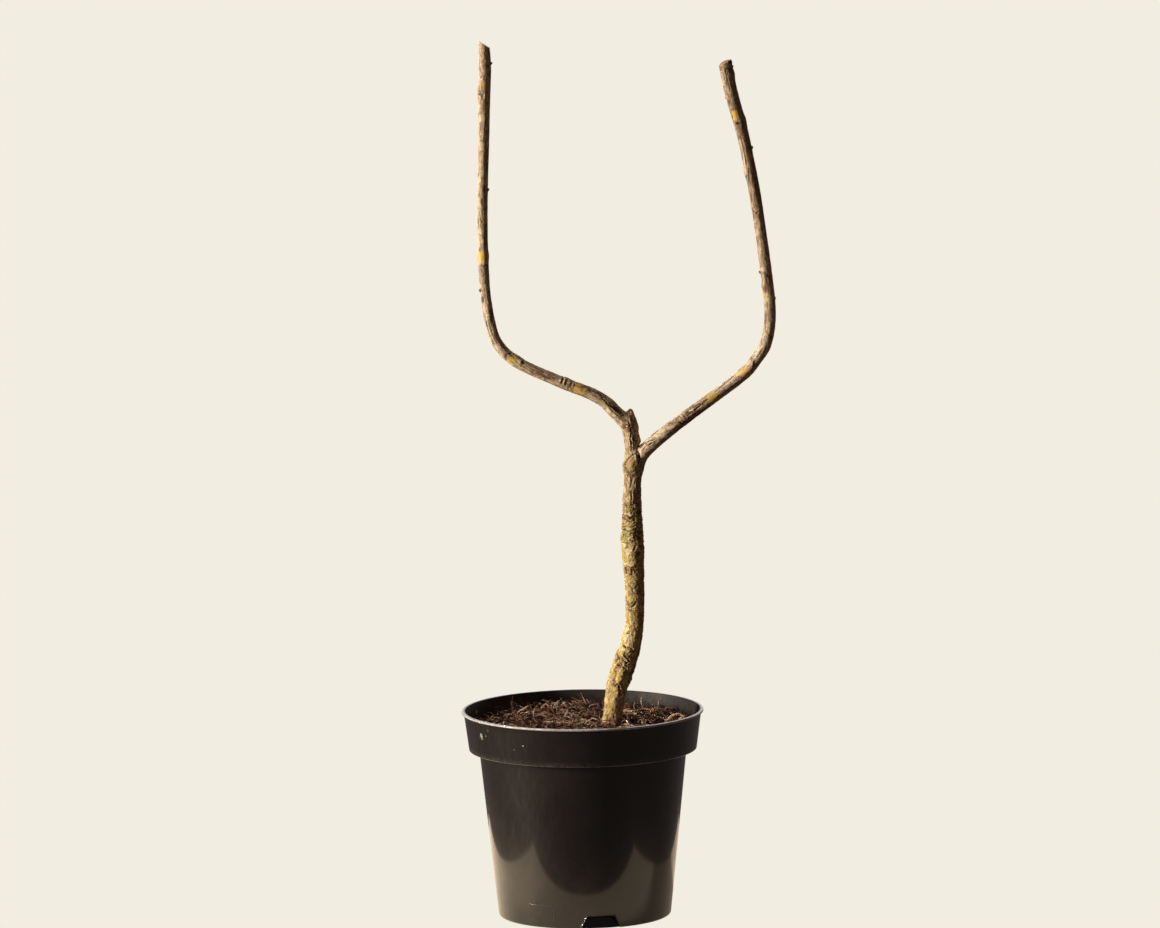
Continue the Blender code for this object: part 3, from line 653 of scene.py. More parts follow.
def mesh_from(name, points, *face_sets):
    """A mesh from an array of points and arrays of faces, each of one number of corners."""
    mesh = bpy.data.meshes.new(name)
    points = np.ascontiguousarray(points, np.float32)
    face_sets = [np.ascontiguousarray(faces, np.int32) for faces in face_sets if len(faces)]
    corners = np.concatenate([faces.ravel() for faces in face_sets])
    sizes = np.concatenate([np.full(len(faces), faces.shape[1]) for faces in face_sets])
    starts = np.concatenate([[0], np.cumsum(sizes)[:-1]])
    mesh.vertices.add(len(points))
    mesh.vertices.foreach_set("co", points.ravel())
    mesh.loops.add(len(corners))
    mesh.loops.foreach_set("vertex_index", corners)
    mesh.polygons.add(len(sizes))
    mesh.polygons.foreach_set("loop_start", starts.astype(np.int32))
    mesh.update(calc_edges=True)
    return mesh


def add_values(mesh, name, values):
    """A named value, or a named vector, at each point."""
    values = np.ascontiguousarray(values, np.float32)
    kind, key = ("FLOAT_VECTOR", "vector") if values.ndim == 2 else ("FLOAT", "value")
    mesh.attributes.new(name, kind, "POINT").data.foreach_set(key, values.ravel())


def spokes(side, other, sides):
    """Directions all round, from two directions square to each other."""
    turn = tau * np.arange(sides) / sides
    return side[..., None, :] * np.cos(turn)[:, None] + other[..., None, :] * np.sin(turn)[:, None]


def tube_faces(rings, sides):
    """Quads between neighbouring rings of a tube whose points run ring by ring."""
    ring, side = np.meshgrid(np.arange(rings - 1), np.arange(sides), indexing="ij")
    low, after = ring * sides, (side + 1) % sides
    quads = [low + side, low + after, low + sides + after, low + sides + side]
    return np.stack(quads, axis=-1).reshape(-1, 4)


def fan(first, sides, tip):
    """Triangles from a ring of points to one point."""
    side = np.arange(sides)
    return np.stack([first + side, first + (side + 1) % sides, np.full(sides, tip)], axis=1)


def flat_ends(rings, sides):
    """The first and the last ring of a tube as faces."""
    side = np.arange(sides)
    return np.stack([side[::-1], (rings - 1) * sides + side])


def joined(parts):
    """The points and the face sets of several parts, each gathered into one."""
    points, *face_sets = zip(*parts)
    starts = np.cumsum([0, *map(len, points[:-1])])
    return np.vstack(points), *(np.vstack([f + k for f, k in zip(s, starts)]) for s in face_sets)


def put_on(obj, slot, *nodes):
    """The piece rides on the one body and stands for the nodes, which are hidden. The slot is not
    used.
    """
    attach(obj, "root")
    if nodes:
        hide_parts(*nodes)
    return obj


# ---------------------------------------------------------------- shader helpers


class Nodes:
    """A node tree that is built up node by node."""

    def __init__(self, tree):
        self.tree = tree

    def node(self, kind, inputs=None, **settings):
        made = self.tree.nodes.new(kind)
        for key, value in settings.items():
            setattr(made, key, value)
        for key, value in (inputs or {}).items():
            self.feed(made.inputs[key], value)
        return made

    def feed(self, socket, value):
        """Links a socket to an output, or sets it to a plain value."""
        if isinstance(value, bpy.types.NodeSocket):
            self.tree.links.new(value, socket)
        elif socket.type == "RGBA":
            socket.default_value = (*value, 1)
        else:
            socket.default_value = value

    def coordinates(self, kind="Object"):
        return self.node("ShaderNodeTexCoord").outputs[kind]

    def vectors(self, operation, a, b, output="Vector"):
        made = self.node("ShaderNodeVectorMath", {0: a, 1: b}, operation=operation)
        return made.outputs[output]

    def background(self, colour, strength):
        inputs = {"Color": colour, "Strength": strength}
        return self.node("ShaderNodeBackground", inputs).outputs["Background"]

    def choose(self, factor, a, b):
        return self.node("ShaderNodeMixShader", {"Fac": factor, 1: a, 2: b}).outputs["Shader"]


class Shader(Nodes):
    """A Principled material that is built up node by node."""

    def __init__(self, name, roughness, specular):
        self.material = bpy.data.materials.new(name)
        self.material.use_nodes = True
        super().__init__(self.material.node_tree)
        self.finish("Roughness", roughness)
        self.finish("Specular IOR Level", specular)

    def finish(self, name, value):
        """Feeds one input of the Principled shader."""
        self.feed(self.tree.nodes["Principled BSDF"].inputs[name], value)

    def attribute(self, name, output="Fac"):
        return self.node("ShaderNodeAttribute", attribute_name=name).outputs[output]

    def along(self, axis, where):
        return self.node("ShaderNodeSeparateXYZ", {0: where}).outputs[axis]

    def stretched(self, vector, scale):
        return self.vectors("MULTIPLY", vector, scale)

    def noise(self, vector, scale, detail=4, roughness=0.55, distortion=0.0, output="Fac"):
        inputs = {"Vector": vector, "Scale": scale, "Detail": detail}
        inputs |= {"Roughness": roughness, "Distortion": distortion}
        return self.node("ShaderNodeTexNoise", inputs).outputs[output]

    def range(self, value, low, high, to_low=0.0, to_high=1.0):
        inputs = {"Value": value, "From Min": low, "From Max": high}
        inputs |= {"To Min": to_low, "To Max": to_high}
        made = self.node("ShaderNodeMapRange", inputs, interpolation_type="SMOOTHSTEP")
        return made.outputs["Result"]

    def maths(self, operation, a, b=0.0, clamp=False):
        settings = {"operation": operation, "use_clamp": clamp}
        return self.node("ShaderNodeMath", {0: a, 1: b}, **settings).outputs[0]

    def times(self, a, b):
        return self.maths("MULTIPLY", a, b, clamp=True)

    def mix(self, factor, a, b, blend="MIX"):
        made = self.node("ShaderNodeMix", {"Factor": factor}, data_type="RGBA", blend_type=blend)
        for socket, value in zip((s for s in made.inputs if s.type == "RGBA"), (a, b)):
            self.feed(socket, value)
        return next(s for s in made.outputs if s.type == "RGBA")

    def layers(self, base, layers):
        """Lays colours over a base, each where a noise of its own is high."""
        for vector, texture, limits, colour in layers:
            base = self.mix(self.range(self.noise(vector, *texture), *limits), base, colour)
        return base

    def bump(self, height, distance, strength=1.0):
        inputs = {"Strength": strength, "Distance": distance, "Height": height}
        self.finish("Normal", self.node("ShaderNodeBump", inputs).outputs["Normal"])


# ---------------------------------------------------------------- materials


def old_bark(s, grain):
    """Cream to olive brown, finely mottled, with thin dark lines between its flakes and cream
    flecks that are painted highlights.
    """
    short = s.stretched(grain, (1, 1, 0.55))
    base = s.layers(
        OLD_LIGHT,
        (
            (short, (220, 4, 0.62), (0.40, 0.60), OLD_MID),
            (grain, (330, 4, 0.65), (0.50, 0.62, 0, 0.65), OLD_GREEN),
            # Cream flecks: painted highlights
            (short, (320, 4, 0.6, 0.3), (0.54, 0.66, 0, 0.85), OLD_PAINTED_HIGHLIGHT),
        ),
    )
    shift = s.stretched(s.noise(grain, 300, 2, 0.5, 0.0, "Color"), (0.003, 0.003, 0.003))
    warped = s.vectors("ADD", s.stretched(grain, (1, 1, 0.7)), shift)
    inputs = {"Vector": warped, "Scale": 300}
    cells = s.node("ShaderNodeTexVoronoi", inputs, feature="DISTANCE_TO_EDGE")
    line = s.range(cells.outputs["Distance"], 0.17, 0.03)
    patchy = s.range(s.noise(grain, 130, 3, 0.6), 0.44, 0.58)
    base = s.mix(s.times(line, s.times(patchy, 0.65)), base, OLD_DARK)
    return s.layers(base, ((grain, (650, 4, 0.65), (0.57, 0.66, 0, 0.65), OLD_DARK),))


def young_bark(s, grain):
    """Grey-tan, with long dark and reddish streaks along the limb, and silvery flecks that are
    painted glints.
    """
    along = s.stretched(grain, (1, 1, 0.27))
    middling = s.stretched(grain, (1, 1, 0.55))
    return s.layers(
        YOUNG_LIGHT,
        (
            (middling, (210, 5, 0.65), (0.38, 0.60), YOUNG_MID),
            (along, (330, 4, 0.6, 0.3), (0.52, 0.66, 0, 0.6), YOUNG_RED),
            (along, (560, 4, 0.65, 0.4), (0.50, 0.64, 0, 0.8), YOUNG_DARK),
            # Silvery flecks: painted glints
            (along, (430, 4, 0.6), (0.56, 0.67, 0, 0.6), YOUNG_PAINTED_GLINT),
            (middling, (560, 4, 0.62), (0.54, 0.65, 0, 0.7), YOUNG_DARK),
            (middling, (760, 3, 0.6), (0.57, 0.67, 0, 0.4), YOUNG_SALT),
        ),
    )


def bark_material(name):
    """Old bark that passes into young bark where the mask says, with the marks laid over."""
    s = Shader(name, 0.72, 0.30)
    grain = s.attribute("grain", "Vector")
    base = s.mix(s.attribute("young"), old_bark(s, grain), young_bark(s, grain))
    base = s.mix(s.attribute("brown"), base, SHADE_BROWN, "MULTIPLY")
    for kind, colour in MARK_COLOURS.items():
        base = s.mix(s.attribute(kind), base, colour)
    s.finish("Base Color", base)
    s.bump(s.noise(s.stretched(grain, (1, 1, 0.3)), 900, 4, 0.6), 0.0003, 0.9)
    return s.material


def bud_material():
    s = Shader("bud_scales", 0.55, 0.3)
    where = s.coordinates()
    blotch = s.range(s.noise(where, 900, 3), 0.4, 0.65)
    s.finish("Base Color", s.mix(blotch, (0.070, 0.036, 0.020), (0.19, 0.11, 0.062)))
    s.bump(s.noise(where, 1600, 2), 0.0002, 0.6)
    return s.material


def plastic_material():
    """Black moulded plastic: satin, with dust low down, fine rubs and a few pale scuffs. The lip's
    pale line is a painted highlight, the edge rubs are partly painted highlight, and the inside's
    lighter left is painted light.
    """
    s = Shader("black_plastic", 0.42, 0.22)
    s.finish("Coat Roughness", 0.10)
    where = s.coordinates()
    inner = s.attribute("inner")
    cloud = s.times(s.range(s.noise(where, 22, 5, 0.6), 0.42, 0.68), 0.5)
    # Pale rubs on the lip and the band's lower edge: partly real wear, partly painted highlight
    # lines
    worn_and_highlit = s.times(s.attribute("wear_and_highlight"), s.range(s.noise(where, 260, 4, 0.7), 0.30, 0.62))
    # Inside, a dust grey that grows towards the left, where it is painted light on the shaded inner
    # wall
    dust_and_painted_light = s.range(s.along("X", where), 0.06, -0.03, 0.15, 1.0)
    base = (0.0120, 0.0088, 0.0082)
    for amount, colour in (
        (cloud, (0.021, 0.016, 0.0145)),
        (s.times(s.range(s.along("Z", where), 0.12, 0.0), cloud), (0.045, 0.036, 0.026)),
        # A pale line all along the lip: painted highlight
        (s.times(s.attribute("rim"), 0.85), (0.34, 0.31, 0.32)),
        (worn_and_highlit, (0.70, 0.65, 0.63)),
        (s.times(inner, dust_and_painted_light), (0.034, 0.029, 0.027)),
    ):
        base = s.mix(amount, base, colour)
    for centre, reach, amount in SCUFFS:
        away = s.vectors("DISTANCE", where, tuple(MM * np.array(centre)), "Value")
        near = s.range(away, MM * reach, MM * reach * 0.3)
        flecks = s.range(s.noise(where, 520, 4, 0.75), 0.50 - 0.04 * amount, 0.58)
        base = s.mix(s.times(near, flecks), base, SCUFF_COLOUR)
    s.finish("Base Color", base)
    rub = s.noise(s.stretched(where, (1, 1, 0.25)), 240, 5, 0.7)
    rough = s.range(rub, 0.35, 0.75, 0.34, 0.46)
    s.finish("Roughness", s.maths("ADD", rough, s.range(inner, 0, 1, 0.0, 0.22)))
    s.finish("Coat Weight", s.range(inner, 0, 1, 0.95, 0.0))
    s.bump(s.noise(where, 30, 3, 0.5), 0.0006, 0.25)
    return s.material


def soil_material(name, roughness, dark, mid, light):
    """Coir and peat: each bit has a tone of its own, from near-black to tan."""
    s = Shader(name, roughness, 0.15)
    where = s.coordinates()
    tone = s.attribute("tone")
    base = s.mix(s.range(tone, 0.0, 0.55), dark, mid)
    base = s.mix(s.range(tone, 0.55, 1.0), base, light)
    base = s.layers(base, ((where, (900, 4, 0.7), (0.42, 0.66, 0, 0.6), dark),))
    s.finish("Base Color", base)
    s.bump(s.noise(where, 1300, 3, 0.6), 0.0004, 0.8)
    return s.material


# ---------------------------------------------------------------- limbs


def smooth_course(course):
    """Rows of x, y, z, radius and the direction's x, y, z, on a smooth curve through a course."""
    knots = np.array(course, float)
    ends = np.vstack([2 * knots[0] - knots[1], knots, 2 * knots[-1] - knots[-2]])
    spans = np.linalg.norm(np.diff(ends[:, :3], axis=0), axis=1)
    t = (np.arange(SAMPLES_PER_LEG) / SAMPLES_PER_LEG)[:, None]
    legs = []
    for k in range(1, len(ends) - 2):
        before, here, after = spans[k - 1], spans[k], spans[k + 1]
        leave = here * (ends[k + 1] - ends[k - 1]) / (before + here)
        arrive = here * (ends[k + 2] - ends[k]) / (here + after)
        legs.append(
            (2 * t**3 - 3 * t**2 + 1) * ends[k]
            + (t**3 - 2 * t**2 + t) * leave
            + (3 * t**2 - 2 * t**3) * ends[k + 1]
            + (t**3 - t**2) * arrive
        )
    dense = np.vstack([*legs, ends[-2]])
    return np.hstack([dense, np.gradient(dense[:, :3], axis=0)])


def lengths_along(dense):
    steps = np.linalg.norm(np.diff(dense[:, :3], axis=0), axis=1)
    return np.concatenate([[0], np.cumsum(steps)])


def frames_along(rows, first_side):
    """The tangent and two side directions at each row, carried along without twist."""
    side = np.array(first_side, float)
    tangents, sides, others = [], [], []
    for row in rows:
        tangent = unit(row[4:])
        side = unit(side - tangent * side.dot(tangent))
        tangents.append(tangent)
        sides.append(side)
        others.append(np.cross(tangent, side))
    return np.array(tangents), np.array(sides), np.array(others)


class Limb:
    """The bark of one limb as a grid of points: rings along it by sides around it."""

    def __init__(self, course, sides, step, first_side, knots, foot_depth=0):
        course = MM * np.array(course, float)
        if foot_depth:
            down = (course[0] - course[1]) * [1, 1, 1, 0]
            lower = course[0] + down * foot_depth / np.linalg.norm(down)
            course = np.vstack([lower, course])
        self.dense = smooth_course(course)
        lengths = lengths_along(self.dense)
        self.where = np.linspace(0, lengths[-1], int(round(lengths[-1] / step)) + 1)
        self.rows = np.stack([np.interp(self.where, lengths, c) for c in self.dense.T], axis=1)
        self.angle = tau * np.arange(sides) / sides
        self.shape = (len(self.where), sides)
        self.tangent, side, other = frames_along(self.rows, first_side)
        self.outward = spokes(side, other, sides)
        self.points = np.repeat(self.rows[:, None, :3], sides, axis=1)
        self.raise_by(self.limb_radius() + self.knot_height(knots))
        self.masks = {name: np.zeros(self.shape) for name in MASKS}
        reach = self.rows[:, 3].mean()
        grain = (reach * np.cos(self.angle), reach * np.sin(self.angle), self.where[:, None])
        self.grain = np.stack([np.broadcast_to(part, self.shape) for part in grain], axis=-1)

    def limb_radius(self):
        along, around = self.where[:, None], self.angle[None, :]
        oval = OVALNESS * np.cos(2 * around + OVAL_TURN * along)
        lump = LUMPINESS * np.cos(3 * around - LUMP_TURN * along) * np.sin(LUMP_WAVE * along)
        return self.rows[:, 3][:, None] * (1 + oval + lump)

    def place(self, axis, value):
        """The row of the dense course nearest a world X or Z in mm, and its distance along."""
        k = np.abs(self.dense[:, "xyz".index(axis)] - MM * value).argmin()
        return self.dense[k], lengths_along(self.dense)[k]

    def beyond(self, axis, value):
        """How far each ring lies past a world X or Z in mm."""
        return self.where[:, None] - self.place(axis, value)[1]

    def turn_from(self, facing):
        """The angle between each point's outward direction and a side."""
        return np.arccos(np.clip(self.outward @ unit(np.array(facing, float)), -1, 1))

    def knot_height(self, knots):
        height = np.zeros(self.shape)
        for axis, value, facing, rise, half_length, half_angle in knots:
            along = self.beyond(axis, value) / (MM * half_length)
            turn = self.turn_from(facing) / radians(half_angle)
            height += MM * rise * np.exp(-(along**2) - turn**2)
        return height

    def raise_by(self, height):
        self.points += self.outward * height[..., None]

    def tint(self, kind, amount):
        """Makes a mask at least the amount."""
        self.masks[kind] = np.maximum(self.masks[kind], amount)

    def mark(self, marks, seed):
        """Pits, swellings and patches, each about a point on the bark, with ragged edges."""
        ragged = fractal(self.grain, 0.003, seed)
        rise_here = np.zeros(self.shape)
        for kind, *lengths, strength in marks:
            at, reach, (rise,) = np.split(MM * np.array(lengths), (3, 6))
            gap = np.linalg.norm(self.points - at, axis=-1)
            centre = self.points[np.unravel_index(gap.argmin(), self.shape)]
            near = np.exp(-np.sum(((self.points - centre) / reach) ** 2, axis=-1))
            rise_here += rise * near
            self.tint(kind, strength * smoothstep(0.30, 0.62, near + 0.35 * ragged * (near > 0.05)))
        self.raise_by(rise_here)

    def ring(self, rings, seed):
        """Grooves part of the way round, a little wavy, with a raised lip above each."""
        for axis, value, facing, half_length, depth, half_angle in rings:
            half_length, depth = MM * half_length, MM * depth
            side = np.exp(-((self.turn_from(facing) / radians(half_angle)) ** 4))
            wavy = fractal(self.grain * [1, 1, 0] + [MM * value, 0, 0], 0.006, seed, 2)
            along = (self.beyond(axis, value) + 0.0012 * wavy) / half_length
            cut, lip = side * np.exp(-(along**2)), side * np.exp(-(((along - 2.2) / 1.5) ** 2))
            self.raise_by(0.45 * depth * lip - depth * cut)
            self.tint("dirt", 0.7 * cut)

    def crease(self, lines, seed):
        """Thin creases, and rims where the depth is negative, along paths across the front."""
        front = smoothstep(0.35, 0.0, self.outward[..., 1])
        wave = 0.0003 * fractal(self.grain, 0.0022, seed, 2)
        flat = self.points[..., [0, 2]] + wave[..., None]
        for kind, half_width, depth, strength, *path in lines:
            half_width, depth, path = MM * half_width, MM * depth, MM * np.array(path)
            gap = np.full(self.shape, np.inf)
            for start, end in zip(path[:-1], path[1:]):
                span = end - start
                part = np.clip((flat - start) @ span / (span @ span), 0, 1)[..., None]
                gap = np.minimum(gap, np.linalg.norm(flat - start - part * span, axis=-1))
            gap /= half_width
            cut, lip = front * np.exp(-(gap**2)), front * np.exp(-(((gap - 2.2) / 1.3) ** 2))
            self.raise_by(0.3 * max(depth, 0) * lip - depth * cut)
            self.tint(kind, strength * cut)

    def shade(self, shades):
        """Browner stretches of bark, all round or on one side; the one-sided rows on the key-lit
        left, and the one on the trunk foot's shaded right, are painted shade.
        """
        ragged = 0.25 * fractal(self.grain, 0.012, 431, 2)
        for axis, value, facing, half_length, amount in shades:
            along = np.abs(self.beyond(axis, value)) / (MM * half_length)
            band = amount * smoothstep(1.3, 0.6, along + ragged)
            if any(facing):
                band = band * smoothstep(-0.1, 0.7, np.cos(self.turn_from(facing)))
            self.tint("brown", band)

    def dashes(self, count, half_widths, half_height, rise):
        """Lenticels: short dashes across the limb, a little raised and pale."""
        rise_here = np.zeros(self.shape)
        step = self.where[1]
        for _ in range(count):
            place, turn = RNG.uniform(0, self.where[-1]), RNG.uniform(0, tau)
            half_width = RNG.uniform(*half_widths)
            tall = half_height * RNG.uniform(0.7, 1.3)
            low = max(0, int((place - 3 * tall) / step))
            high = min(self.shape[0], int((place + 3 * tall) / step) + 2)
            around = (self.angle[None, :] - turn + tau / 2) % tau - tau / 2
            across = around * self.rows[low:high, 3][:, None] / half_width
            along = (self.where[low:high, None] - place) / tall
            near = np.exp(-1.2 * across**2 - along**2)
            rise_here[low:high] += rise * near
            band = self.masks["lenticel"][low:high]
            np.maximum(band, 0.8 * near, out=band)
        self.raise_by(rise_here)

    def groove(self, depth, where_mask):
        """Lowers the bark where a mask from 0 to 1 says, and darkens it there."""
        self.raise_by(-depth * where_mask)
        self.tint("hollow", where_mask)

    def swell_into(self, others):
        """Moves the bark out where it nears another limb, so that the two grow together."""
        swell = np.zeros(self.shape)
        for other in others:
            gap = distance_to_limb(self.points.reshape(-1, 3), other).reshape(self.shape)
            near = np.maximum(JOIN_WIDTH - np.abs(gap), 0) / JOIN_WIDTH
            swell = np.maximum(swell, JOIN_WIDTH * near**2 / 4)
        self.raise_by(swell)

    def shear_end(self, cut):
        """Slides the last stretch of bark along the limb until its end lies on a slanting cut."""
        cut = np.array(cut, float)
        weight = smoothstep(self.where[-1] - CUT_REACH, self.where[-1], self.where)
        offset = self.points - self.rows[:, None, :3]
        slide = -(offset @ cut) / (self.tangent @ cut)[:, None] * weight[:, None]
        self.points += self.tangent[:, None, :] * slide[..., None]

    def mesh(self, name, cap_dome, cut_face):
        """The bark and its end's cut face, which shows wood inside a rim of bark."""
        rings, sides = self.shape
        edge = self.points[-1]
        centre, tangent = edge.mean(axis=0), self.tangent[-1]
        part = 1 - np.arange(1, CAP_RINGS + 1)[:, None, None] / (CAP_RINGS + 1)
        inner = centre + (edge - centre) * part
        growth = 0.00016 * np.sin(part * np.linalg.norm(edge - centre, axis=1).mean() * 9000)
        rough = 0.0004 * fractal(inner, 0.0012, 77)[..., None]
        rise = cap_dome * (1 - part**2) + (growth + rough) * smoothstep(1, 0.8, part)
        inner += tangent * rise
        middle = inner[-1].mean(axis=0)
        cap = np.vstack([inner.reshape(-1, 3), middle])
        points = np.vstack([self.points.reshape(-1, 3), cap])
        rings += CAP_RINGS
        end = fan((rings - 1) * sides, sides, len(points) - 1)
        mesh = mesh_from(name, points, tube_faces(rings, sides), end, flat_ends(rings, sides)[:1])
        wood = np.broadcast_to(smoothstep(0.97, 0.86, part)[..., 0], (CAP_RINGS, sides))
        for mask, values in self.masks.items():
            values = np.vstack([values, wood * cut_face.get(mask, 0)]).ravel()
            add_values(mesh, mask, np.append(values, values[-1]))
        add_values(mesh, "grain", np.vstack([self.grain.reshape(-1, 3), cap]))
        return mesh


def distance_to_limb(points, limb):
    """How far each point is outside another limb's smooth surface, negative inside it."""
    low, high = limb.rows[:, :3].min(axis=0) - 0.03, limb.rows[:, :3].max(axis=0) + 0.03
    gap = np.full(len(points), 1.0)
    near = np.all((points > low) & (points < high), axis=1)
    centres, radii = limb.rows[::2, :3], limb.rows[::2, 3]
    for group in np.array_split(np.flatnonzero(near), 24):
        away = np.linalg.norm(points[group][:, None, :] - centres[None], axis=2) - radii
        gap[group] = away.min(axis=1)
    return gap


def furrows(grain, size, seed, width):
    """Thin branching lines, as a mask from 0 to 1."""
    return smoothstep(width, 0, np.abs(fractal(grain, size, seed, 2)))


def patches(grain, size, seed, low, high, octaves=3):
    """Soft-edged patches, as a mask from 0 to 1."""
    return smoothstep(low, high, fractal(grain, size, seed, octaves))


def between(value, low, high, soft):
    return smoothstep(low - soft, low + soft, value) * smoothstep(high + soft, high - soft, value)


def roughen_trunk(trunk):
    """Old rough bark: lumps, short furrows up the trunk, and a ring of peeling flakes."""
    z, grain, masks = trunk.points[..., 2], trunk.grain, trunk.masks
    masks["young"] = 0.65 * smoothstep(0.462, 0.500, z + 0.010 * fractal(grain, 0.008, 15))
    trunk.raise_by(0.0006 * fractal(grain, (0.007, 0.007, 0.010), 11))
    trunk.raise_by(0.00065 * fractal(grain, (0.0024, 0.0024, 0.0032), 21))
    trunk.raise_by(0.00025 * noise(grain, (0.0011, 0.0011, 0.0014), 25))
    smooth_part = 1 - 0.6 * between(z, 0.345, 0.425, 0.01)
    upright = furrows(grain, (0.005, 0.005, 0.016), 31, 0.10)
    upright *= patches(grain, (0.012, 0.012, 0.03), 35, -0.15, 0.35)
    trunk.groove(0.0008, upright * smooth_part)
    flakes = furrows(grain, (0.010, 0.010, 0.0034), 41, 0.15)
    trunk.groove(0.0009, 0.9 * flakes * between(z, 0.428, 0.486, 0.006))
    cracks = furrows(grain, (0.005, 0.005, 0.0034), 51, 0.09)
    cracks *= patches(grain, 0.010, 55, -0.1, 0.35)
    trunk.groove(0.00045, 0.9 * cracks * smooth_part)
    trunk.groove(0.0005, 0.8 * patches(grain, 0.0022, 61, 0.45, 0.70, 2))
    band = 0.7 * between(z, 0.412, 0.482, 0.008) + 0.40 * between(z, 0.262, 0.345, 0.02)
    mossy = patches(grain, (0.0045, 0.0045, 0.0055), 71, 0.05, 0.45)
    masks["moss"] = mossy * np.clip(band + 0.28, 0, 1)
    red = patches(grain, (0.005, 0.005, 0.007), 81, 0.15, 0.55)
    masks["rust"] = red * (0.30 + 0.4 * between(z, 0.20, 0.305, 0.012))
    flecks = patches(grain, (0.0026, 0.0026, 0.0034), 95, 0.25, 0.55, 2)
    masks["pale"] = 0.55 * flecks * (1 - 0.4 * between(z, 0.345, 0.405, 0.01))
    masks["dirt"] = 0.45 * patches(grain, 0.003, 91, 0.30, 0.55, 2) * smooth_part


def roughen_bough(bough, seed):
    """Younger bark: smoother, with fine wrinkles along it and weathered dark streaks."""
    grain, masks = bough.grain, bough.masks
    masks["young"] = np.ones(bough.shape)
    bough.raise_by(0.00024 * fractal(grain, (0.005, 0.005, 0.012), seed))
    bough.raise_by(0.00026 * fractal(grain, (0.0018, 0.0018, 0.005), seed + 10))
    fine = furrows(grain, (0.0026, 0.0026, 0.022), seed + 20, 0.08)
    bough.groove(0.00036, 0.85 * fine * patches(grain, 0.016, seed + 25, -0.1, 0.35))
    rings = furrows(grain, (0.020, 0.020, 0.0045), seed + 30, 0.045)
    bough.groove(0.00018, 0.6 * rings * patches(grain, 0.02, seed + 35, 0.15, 0.5))
    pits = patches(grain, (0.002, 0.002, 0.0034), seed + 40, 0.58, 0.80, 2)
    bough.groove(0.0003, 0.7 * pits)
    for kind, amount, across, along, offset, low, high in (
        ("dirt", 0.45, 0.0022, 0.013, 50, 0.12, 0.50),
        ("rust", 0.45, 0.003, 0.015, 60, 0.10, 0.55),
        ("pale", 0.40, 0.0022, 0.014, 65, 0.20, 0.55),
        ("ochre", 0.25, 0.007, 0.012, 70, 0.38, 0.62),
    ):
        masks[kind] = amount * patches(grain, (across, across, along), seed + offset, low, high)


def darken_arm_top(bough, turn_x, outward_sign, amount):
    """Darkens the arm's upper side in mottled patches, by an amount given for each arm."""
    on_arm = smoothstep(0, 0.02, outward_sign * (turn_x - bough.points[..., 0]))
    blotch = patches(bough.grain, (0.003, 0.003, 0.014), 301, -0.25, 0.35)
    bough.tint("dirt", amount * smoothstep(0.3, 0.9, bough.outward[..., 2]) * blotch * on_arm)


def sink_start(bough):
    """Narrows a bough's root a little, where it lies inside the trunk."""
    part = ROOT_SHARE + (1 - ROOT_SHARE) * smoothstep(0, ROOT_REACH, bough.where)
    offset = bough.points - bough.rows[:, None, :3]
    bough.points = bough.rows[:, None, :3] + offset * part[:, None, None]


def bud_set(name, limb, buds):
    """Small pointed buds of overlapping scales, each rooted in its limb."""
    turn = tau * np.arange(BUD_SIDES) / BUD_SIDES
    part = np.linspace(0, 1, BUD_RINGS)[:, None]
    parts = []
    for number, (axis, value, facing, length, base_radius, lean) in enumerate(buds):
        length, base_radius = MM * length, MM * base_radius
        row = limb.place(axis, value)[0]
        limb_radius, tangent = row[3], unit(row[4:])
        facing = np.array(facing, float)
        outward = unit(facing - tangent * facing.dot(tangent))
        reach = 0.75 * limb_radius + part * (0.25 * limb_radius + length)
        outside = np.clip((reach - limb_radius + 0.001) / (length + 0.001), 0, 1)
        taper = np.sqrt(np.clip(1 - outside**1.8, 0, 1))
        scales = 0.09 * ((3.2 * outside + 0.5 * np.cos(2 * turn + number)) % 1 - 0.5)
        radius = base_radius * taper * (1 + scales * (outside > 0) * (outside < 0.97))
        centre = row[:3] + outward * reach + tangent * (lean * length * outside**2)
        ring = spokes(tangent, np.cross(tangent, outward), BUD_SIDES)
        points = centre[:, None] + ring * radius[..., None]
        parts.append((points.reshape(-1, 3), tube_faces(BUD_RINGS, BUD_SIDES)))
    return clean_object(name, mesh_from(name, *joined(parts)), BUD)


